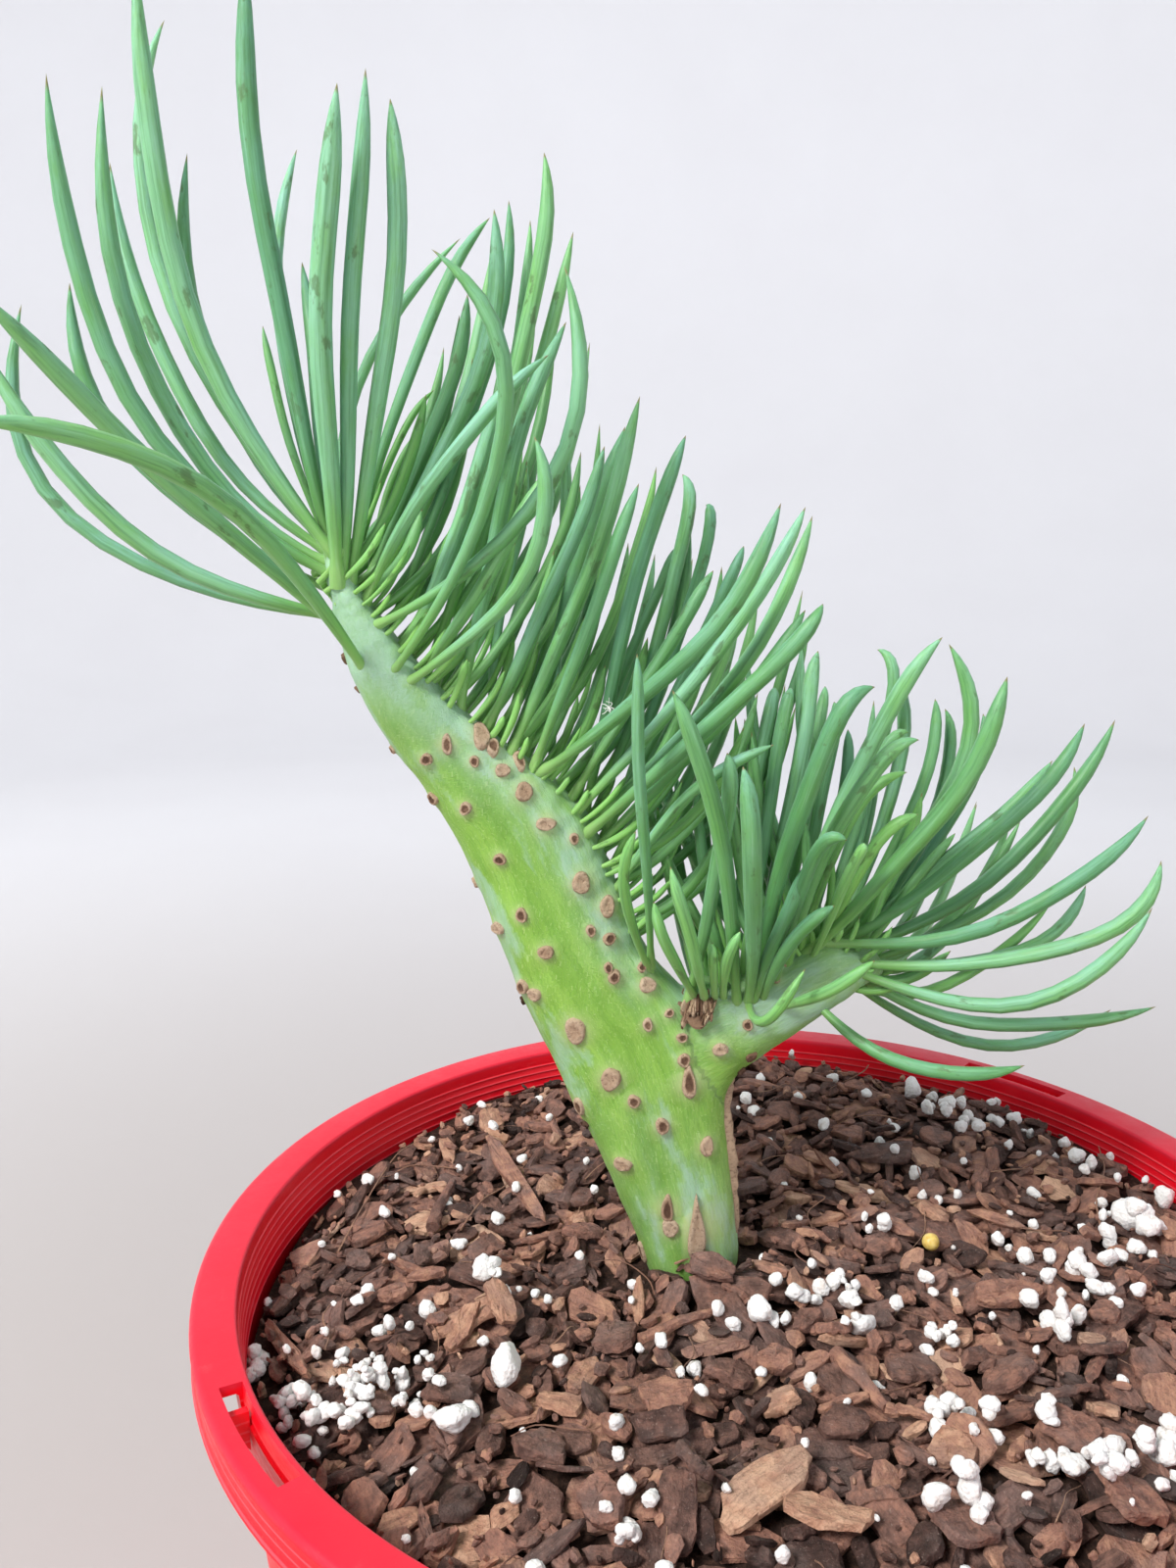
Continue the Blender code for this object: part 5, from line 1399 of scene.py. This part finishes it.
def make_stem(look, roots, stem_run, branch_run):
    """The stem with its leaf cushions, scar mounds, grain and bloom."""
    stem = stem_body(stem_run, branch_run)
    mesh = stem.data
    tree = tree_of(mesh)
    scars = [on_tree(tree, scar.spot) for scar in SCARS]
    points, normals = mesh_points(mesh), mesh_normals(mesh)
    _, root_gap = nearest(points, roots)
    cushion = np.exp(-(root_gap / CUSHION_REACH) ** 2)
    scar_points = np.array([place for place, _ in scars])
    scar_place, scar_gap = nearest(points, scar_points)
    scar_size = np.array([(scar.width + scar.height) / 2 for scar in SCARS])[scar_place]
    mound = np.exp(-(scar_gap / scar_size / 1.5) ** 2)
    uneven = np.array([roughness_at((x, y, z / 2.5), ((6.0, 0.35), (2.2, 0.12))) for x, y, z in points])
    moved = points + normals * (cushion * CUSHION_RISE + mound * SCAR_MOUND + uneven)[:, None]
    mesh.vertices.foreach_set("co", (moved * MM).ravel())
    grains, gaps = [], []
    for run in (stem_run, branch_run):
        middle, across, half, length = centre_line(run)
        place, gap = nearest(points, middle)
        offset = points - middle[place]
        turn = np.arctan2(offset[:, 1], (offset * across[place]).sum(axis=1))
        reach = half[place]
        grains.append(np.stack([reach * np.cos(turn), reach * np.sin(turn), length[place]], axis=1))
        gaps.append(gap / half[place])
    grain = np.where((gaps[0] < gaps[1])[:, None], grains[0], grains[1] + 300.0)
    height = points[:, 2]
    upper = np.clip((height - 225.0) / 50.0, 0.0, 1.0) * 0.20
    lower = np.clip((POT_HEIGHT + 38.0 - height) / 30.0, 0.0, 1.0) * 0.20
    bloom = np.clip(np.exp(-(root_gap / 5.5) ** 2) * 0.85 + upper + lower, 0.0, 1.0)
    store_values(mesh, "grain", grain)
    store_values(mesh, "bloom", bloom)
    store_values(mesh, "halo", np.clip(np.exp(-(scar_gap / scar_size / 1.25) ** 2) * 0.8, 0.0, 0.8))
    mesh.update()
    finish_piece(stem, look, "crested_senecio", 80.0)
    return tree_of(mesh)


def add_scar(batch, random, centre, normal, width, height, taper):
    """A corky leaf scar: a raised uneven rim round a sunken middle."""
    across = unit(np.cross((0.0, 0.0, 1.0), normal))
    upright = np.cross(normal, across)
    turns = tau * np.arange(SCAR_SIDES) / SCAR_SIDES
    swing = random.uniform(0.0, tau, 2)
    edge = 1.0 + 0.07 * np.sin(2 * turns + swing[0]) + 0.05 * np.sin(3 * turns + swing[1])
    edge += random.uniform(-SCAR_UNEVEN, SCAR_UNEVEN, SCAR_SIDES)
    width, height = width * SCAR_SIZE, height * SCAR_SIZE
    rim_tone = random.uniform(0.74, 1.0)
    core_tone = rim_tone - (0.55 if width < 1.15 else random.uniform(0.02, 0.14))
    rows, tones = [], []
    for share, rise in SCAR_PROFILE:
        wave = random.uniform(-0.09, 0.09, SCAR_SIDES)
        x = width * share * edge * np.cos(turns) * (1.0 - taper * np.sin(turns))
        y = height * share * edge * np.sin(turns)
        lift = rise * min(width, 1.2) + wave
        rows.append(np.stack([x, y, lift], axis=1))
        tones.append(np.full(SCAR_SIDES, rim_tone if share > 0.6 else core_tone) + wave)
    rows.append([[0.0, 0.0, SCAR_PROFILE[-1][1] * min(width, 1.2)]])
    tones.append([core_tone])
    local = np.concatenate(rows)
    points = centre + local[:, :1] * across + local[:, 1:2] * upright + local[:, 2:] * normal
    grain = local + random.uniform(0.0, 900.0, 3)
    batch.add(points, tube_faces(len(SCAR_PROFILE), SCAR_SIDES, True), tone=np.concatenate(tones), grain=grain)


def make_scars(look, tree):
    random = np.random.default_rng(SEED + 3)
    scars = Batch()
    for scar in SCARS:
        centre, normal = on_tree(tree, scar.spot)
        add_scar(scars, random, centre, normal, scar.width, scar.height, scar.taper)
    finish_piece(add_object("leaf_scars", scars.mesh("leaf_scars")), look, "crested_senecio", 60.0)
    cork = Batch()
    top_left, top_right = np.array(FORK_CORK_TOP, float)
    first, normal = on_tree(tree, (top_left + top_right) / 2)
    last, _ = on_tree(tree, FORK_CORK_LOW)
    add_flake(cork, random, (first + last) / 2, normal, last - first, FORK_PLATE, 0.45, 20)
    for share in np.linspace(0.0, 1.0, FORK_SPLINTERS):
        start = top_left + (top_right - top_left) * share + random.uniform(-2.0, 2.0, 2)
        end = start + (np.array(FORK_CORK_LOW) - start) * random.uniform(0.55, 1.0)
        end[0] += (start[0] - FORK_CORK_LOW[0]) * FORK_CORK_GATHER
        first, normal = on_tree(tree, start)
        last, _ = on_tree(tree, end)
        centre = (first + last) / 2 + normal * 0.6
        size = (np.linalg.norm(last - first) + 0.6, random.uniform(0.35, 0.8), random.uniform(0.5, 1.1))
        tilt = random.normal(0.0, 0.12, 3)
        add_flake(cork, random, centre, unit(normal + tilt), last - first, size, random.uniform(0.15, 1.0), 10)
    for spot in EDGE_CORK:
        centre, normal = on_tree(tree, spot)
        heading = unit(random.normal(0.0, 1.0, 3))
        add_flake(cork, random, centre, normal, heading, (2.2, 1.5, 1.1), random.uniform(0.1, 0.5), 10)
    knots = [seen(spot, CORK_STRIP_DEPTH) for spot in CORK_STRIP]
    count = 40
    spine = smooth_run(knots, count)
    swell = np.sin(np.linspace(0.12, 0.97, count) * tau / 2) ** 0.6
    radii = CORK_STRIP_SIZE[0] * swell * random.uniform(0.88, 1.08, count)
    flatness = CORK_STRIP_SIZE[1] / CORK_STRIP_SIZE[0]
    add_rod(cork, random, spine, radii, 0.78, 12, flatness, 0.07, (1.0, 0.0, 0.0))
    finish_piece(add_object("stem_cork", cork.mesh("stem_cork")), look, "crested_senecio", 35.0)


def leaf_radius(share):
    """The leaf's radius along its length: narrow at the root, full in the middle, drawn to a point."""
    if share < LEAF_FULL_FROM:
        swell = sin(share / LEAF_FULL_FROM * tau / 4)
        return LEAF_RADIUS * (LEAF_ROOT_SHARE + (1.0 - LEAF_ROOT_SHARE) * swell)
    if share < LEAF_FULL_TO:
        return LEAF_RADIUS
    return LEAF_RADIUS * (1.0 - ((share - LEAF_FULL_TO) / (1.0 - LEAF_FULL_TO)) ** LEAF_POINTING)


def add_leaf(batch, random, leaf, group, young):
    """A round leaf with a shallow groove on its inner side, a neck and a flared, sunken root."""
    root, middle, tip, girth = leaf
    girth = girth * group.girth
    bend = 2 * middle - (root + tip) / 2
    side = unit(np.cross(bend - root, tip - bend))
    s = LEAF_STATIONS[:, None]
    spine = (1 - s) ** 2 * root + 2 * s * (1 - s) * bend + s ** 2 * tip
    heading = unit((1 - s) * (bend - root) + s * (tip - bend))
    upward = np.cross(heading, side)
    length = np.linalg.norm(middle - root) + np.linalg.norm(tip - middle)
    run = LEAF_STATIONS * length
    phase = random.uniform(0.0, tau, 2)
    envelope = LEAF_WANDER * girth * np.sin(LEAF_STATIONS * tau / 2) * min(1.0, length / 60.0)
    sway = np.sin(LEAF_STATIONS * tau * 0.9 + phase[0]) * envelope
    nod = np.sin(LEAF_STATIONS * tau * 1.1 + phase[1]) * envelope
    spine = spine + side * sway[:, None] + upward * nod[:, None]
    neck = 1.0 - LEAF_NECK * np.exp(-((run - LEAF_NECK_AT) / 2.2) ** 2)
    flare = LEAF_FLARE * np.exp(-(run / LEAF_FLARE_REACH) ** 2)
    radii = np.array([leaf_radius(share) for share in LEAF_STATIONS]) * girth * (neck + flare)
    spine = np.concatenate([[root - heading[0] * LEAF_SINK], spine])
    upward = np.concatenate([upward[:1], upward])
    radii = np.concatenate([[radii[0] * 1.1], radii])
    run = np.concatenate([[-LEAF_SINK], run])
    turns = tau * np.arange(LEAF_SIDES) / LEAF_SIDES
    inner = tau / 4 if np.dot((root + tip) / 2 - middle, upward[9]) > 0 else -tau / 4
    gap = np.abs((turns - inner + tau / 2) % tau - tau / 2)
    shape = 1.0 - LEAF_GROOVE * np.exp(-(gap / LEAF_GROOVE_WIDTH) ** 2)
    ring = side * (np.cos(turns) * shape)[:, None]
    rise = upward[:, None] * (np.sin(turns) * shape)[:, None]
    points = spine[:, None] + (ring + rise) * radii[:, None, None]
    points = np.clip(np.concatenate([points.reshape(-1, 3), [tip]]), *LEAF_LIMITS)
    grain = np.stack([np.outer(radii, np.cos(turns)).ravel(), np.outer(radii, np.sin(turns)).ravel(),
                      np.repeat(run, LEAF_SIDES)], axis=1)
    grain = np.concatenate([grain, [[0.0, 0.0, length]]]) + random.uniform(0.0, 900.0, 3)
    share = np.append(np.repeat(np.clip(run / length, 0.0, 1.0), LEAF_SIDES), 1.0)
    faces = tube_faces(len(spine), LEAF_SIDES, True)
    foot = np.append(np.repeat(np.exp(-np.maximum(run, 0.0) / LEAF_FOOT_REACH), LEAF_SIDES), 0.0)
    values = {"grain": grain, "share": share, "foot": foot, "tint": random.uniform()}
    values.update(young=young, wax=group.wax * random.uniform(*WAX_SPREAD) * (1.0 - 0.5 * young))
    batch.add(points, faces, **values)


def sighted_leaves(leaves):
    """Leaves with their points worked out, as (root, middle, tip, girth)."""
    placed = []
    for leaf in leaves:
        spots = (leaf.root, leaf.middle, leaf.tip)
        points = [seen(spot, depth) for spot, depth in zip(spots, leaf.depths)]
        placed.append((*points, leaf.girth))
    return placed


def row_leaves(rows, random, girths):
    """Leaves in rows along the growing edge."""
    leaves = []
    for row in rows:
        line = [seen(spot, row.depth) for spot in row.line]
        for i in range(row.count):
            share = (i + 0.5 + random.uniform(-ROW_JITTER, ROW_JITTER)) / row.count
            run = unit(along(line, min(share + 0.05, 1.0)) - along(line, max(share - 0.05, 0.0)))
            outward = unit(np.array([-run[2], 0.0, run[0]]))
            sideways = random.uniform(-ROW_SIDEWAYS, ROW_SIDEWAYS)
            lean = row.lean * random.uniform(*ROW_LEAN_SPREAD)
            heading = unit(outward + np.array([sideways, lean, 0.0]))
            length = random.uniform(*row.length)
            lift = np.array([0.0, 0.0, row.lift])
            root = along(line, share) - outward * ROW_SINK
            middle = root + length / 2 * unit(heading + lift * ROW_EARLY_LIFT)
            tip = root + length * unit(heading + lift)
            leaves.append((root, middle, tip, random.uniform(*girths)))
    return leaves


def make_leaves(look):
    """Every leaf, in a piece for each part of the plant. Returns the points of their roots."""
    random = np.random.default_rng(SEED + 4)
    young_random = np.random.default_rng(SEED + 5)
    groups = (
        (Group("head_leaves", 1.0, 0.0, 1.1), sighted_leaves(HEAD_LEAVES)),
        (Group("crest_leaves", 0.86, 0.0, 0.85), sighted_leaves(CREST_LEAVES)),
        (Group("branch_leaves", 0.92, 0.0, 0.70), sighted_leaves(BRANCH_LEAVES)),
        # The far leaves get some of the young leaves' brighter green as painted light: it stands in for light
        # shining through them from behind.
        (Group("far_leaves", 0.85, 0.25, 0.7), row_leaves(LEAF_ROWS, np.random.default_rng(SEED), ROW_GIRTH)),
        (Group("inner_leaves", 1.0, 0.5, 0.5), row_leaves(FILL_ROWS, young_random, (0.55, 0.8))),
        (Group("young_leaves", 1.0, 1.0, 0.4), row_leaves(YOUNG_ROWS, young_random, YOUNG_GIRTH)),
    )
    roots = []
    for group, leaves in groups:
        batch = Batch()
        for i, leaf in enumerate(leaves):
            is_young = i in YOUNG_PLACES.get(group.name, ())
            add_leaf(batch, random, leaf, group, 0.85 if is_young else group.young)
            roots.append(leaf[0])
        piece = add_object(group.name, batch.mesh(group.name))
        finish_piece(piece, look, "crested_senecio", 70.0)
    return np.array(roots)


def make_fluff(look):
    """A speck of white down caught between the leaves."""
    random = np.random.default_rng(SEED + 6)
    batch = Batch()
    centre = seen(FLUFF_SPOT, FLUFF_DEPTH)
    for _ in range(FLUFF_FIBRES):
        reach = unit(random.normal(0.0, 1.0, 3)) * random.uniform(0.8, 1.7)
        bend = random.normal(0.0, 0.3, 3)
        spine = smooth_run([centre, centre + reach * 0.5 + bend, centre + reach], 6)
        add_rod(batch, random, spine, np.linspace(0.09, 0.05, 6), 0.5, 5)
    return finish_piece(add_object("fluff", batch.mesh("fluff")), look, "crested_senecio")


def make_stage():
    """A pale floor that curves up all round into a plain backdrop."""
    profile = [(0.5, -0.05), (300.0, -0.05), (FLOOR_RADIUS * 0.6, -0.05)]
    profile += arc((FLOOR_RADIUS, COVE_RADIUS), COVE_RADIUS, -90.0, 0.0, COVE_STEPS)
    profile.append((FLOOR_RADIUS + COVE_RADIUS, COVE_TOP))
    turns = np.linspace(0.0, tau, STAGE_SIDES, endpoint=False)
    points = np.array([(r * cos(a), r * sin(a), z) for r, z in profile for a in turns])
    faces = [face[::-1] for face in tube_faces(len(profile), STAGE_SIDES, False)[:-1]]
    batch = Batch()
    batch.add(points, faces)
    stage = add_object("studio_floor", batch.mesh("studio_floor"))
    look = Look("pale_floor", Specular_IOR_Level=0.3)
    mottle = look.noise(look.place(), 0.006, 4.0)
    distance = look.make("ShaderNodeVectorMath", "Value", {0: look.place()}, operation="LENGTH")
    wall = look.blend(mottle, (0.80, 0.80, 0.83), (0.84, 0.845, 0.875))
    # Darker near the pot and paler further out: painted shade under the lamps and painted light away from them,
    # evening out their fall-off.
    colour = look.blend(look.fade(distance, *PAINTED_FALLOFF_REACH), (0.475, 0.445, 0.435), wall)
    stage.data.materials.append(look.finish(colour, 0.6, look.bump(look.noise(look.place(), 0.2), 0.05)))
    stage.data.shade_smooth()


def add_light(name, place, target, size, power, colour):
    data = bpy.data.lights.new(name, "AREA")
    data.shape = "DISK"
    data.size = size
    data.energy = power
    data.color = colour
    light = bpy.data.objects.new(name, data)
    light.location = place
    light.rotation_euler = (Vector(target) - Vector(place)).to_track_quat("-Z", "Y").to_euler()
    bpy.context.scene.collection.objects.link(light)


def make_lights():
    target = (0.0, 0.0, 0.2)
    add_light("key", (-1.0, -0.9, 1.5), target, 0.6, 44.0, (1.0, 0.98, 0.95))
    add_light("fill", (0.9, -1.4, 0.5), target, 1.2, 6.0, (0.95, 0.98, 1.0))
    add_light("wall_light", (0.0, 0.7, 1.8), (0.0, 1.9, 0.1), 1.0, 8.6, (0.96, 0.98, 1.0))
    world = bpy.data.worlds.new("studio_air")
    world.use_nodes = True
    background = world.node_tree.nodes["Background"]
    background.inputs["Color"].default_value = (0.93, 0.95, 1.0, 1.0)
    background.inputs["Strength"].default_value = 0.31
    bpy.context.scene.world = world
    bpy.context.scene.view_settings.view_transform = "Standard"


def make_camera():
    data = bpy.data.cameras.new("camera")
    data.sensor_width = SENSOR
    data.lens = SENSOR * PICTURE_DISTANCE / PICTURE_HEIGHT
    data.clip_start = 0.005
    camera = bpy.data.objects.new("camera", data)
    camera.location = Vector(EYE * MM)
    camera.rotation_euler = (tau / 4 - EYE_PITCH, 0.0, 0.0)
    bpy.context.scene.collection.objects.link(camera)
    bpy.context.scene.camera = camera


BALL = ball()
plastic = plastic_look()
bark = bark_look()
perlite = perlite_look()
leaf_skin = leaf_look()
cork = cork_look()
make_pot(plastic)
make_gussets(plastic)
make_bed(soil_look())
stem_run = rung_run(STEM_RUNGS, STEM_STEPS)
branch_run = rung_run(BRANCH_RUNGS, BRANCH_STEPS)
stem_foot = np.array([stem_run[0][0], stem_run[1][0]])
pile = Pile()
make_chips(bark, pile, stem_foot)
make_crumbs(bark, pile, stem_foot)
make_granules(perlite, pile)
make_prill(prill_look(), pile)
make_sticks(bark)
leaf_roots = make_leaves(leaf_skin)
stem_tree = make_stem(stem_look(), leaf_roots, stem_run, branch_run)
make_scars(cork, stem_tree)
make_fluff(fluff_look())
make_stage()
make_lights()
make_camera()
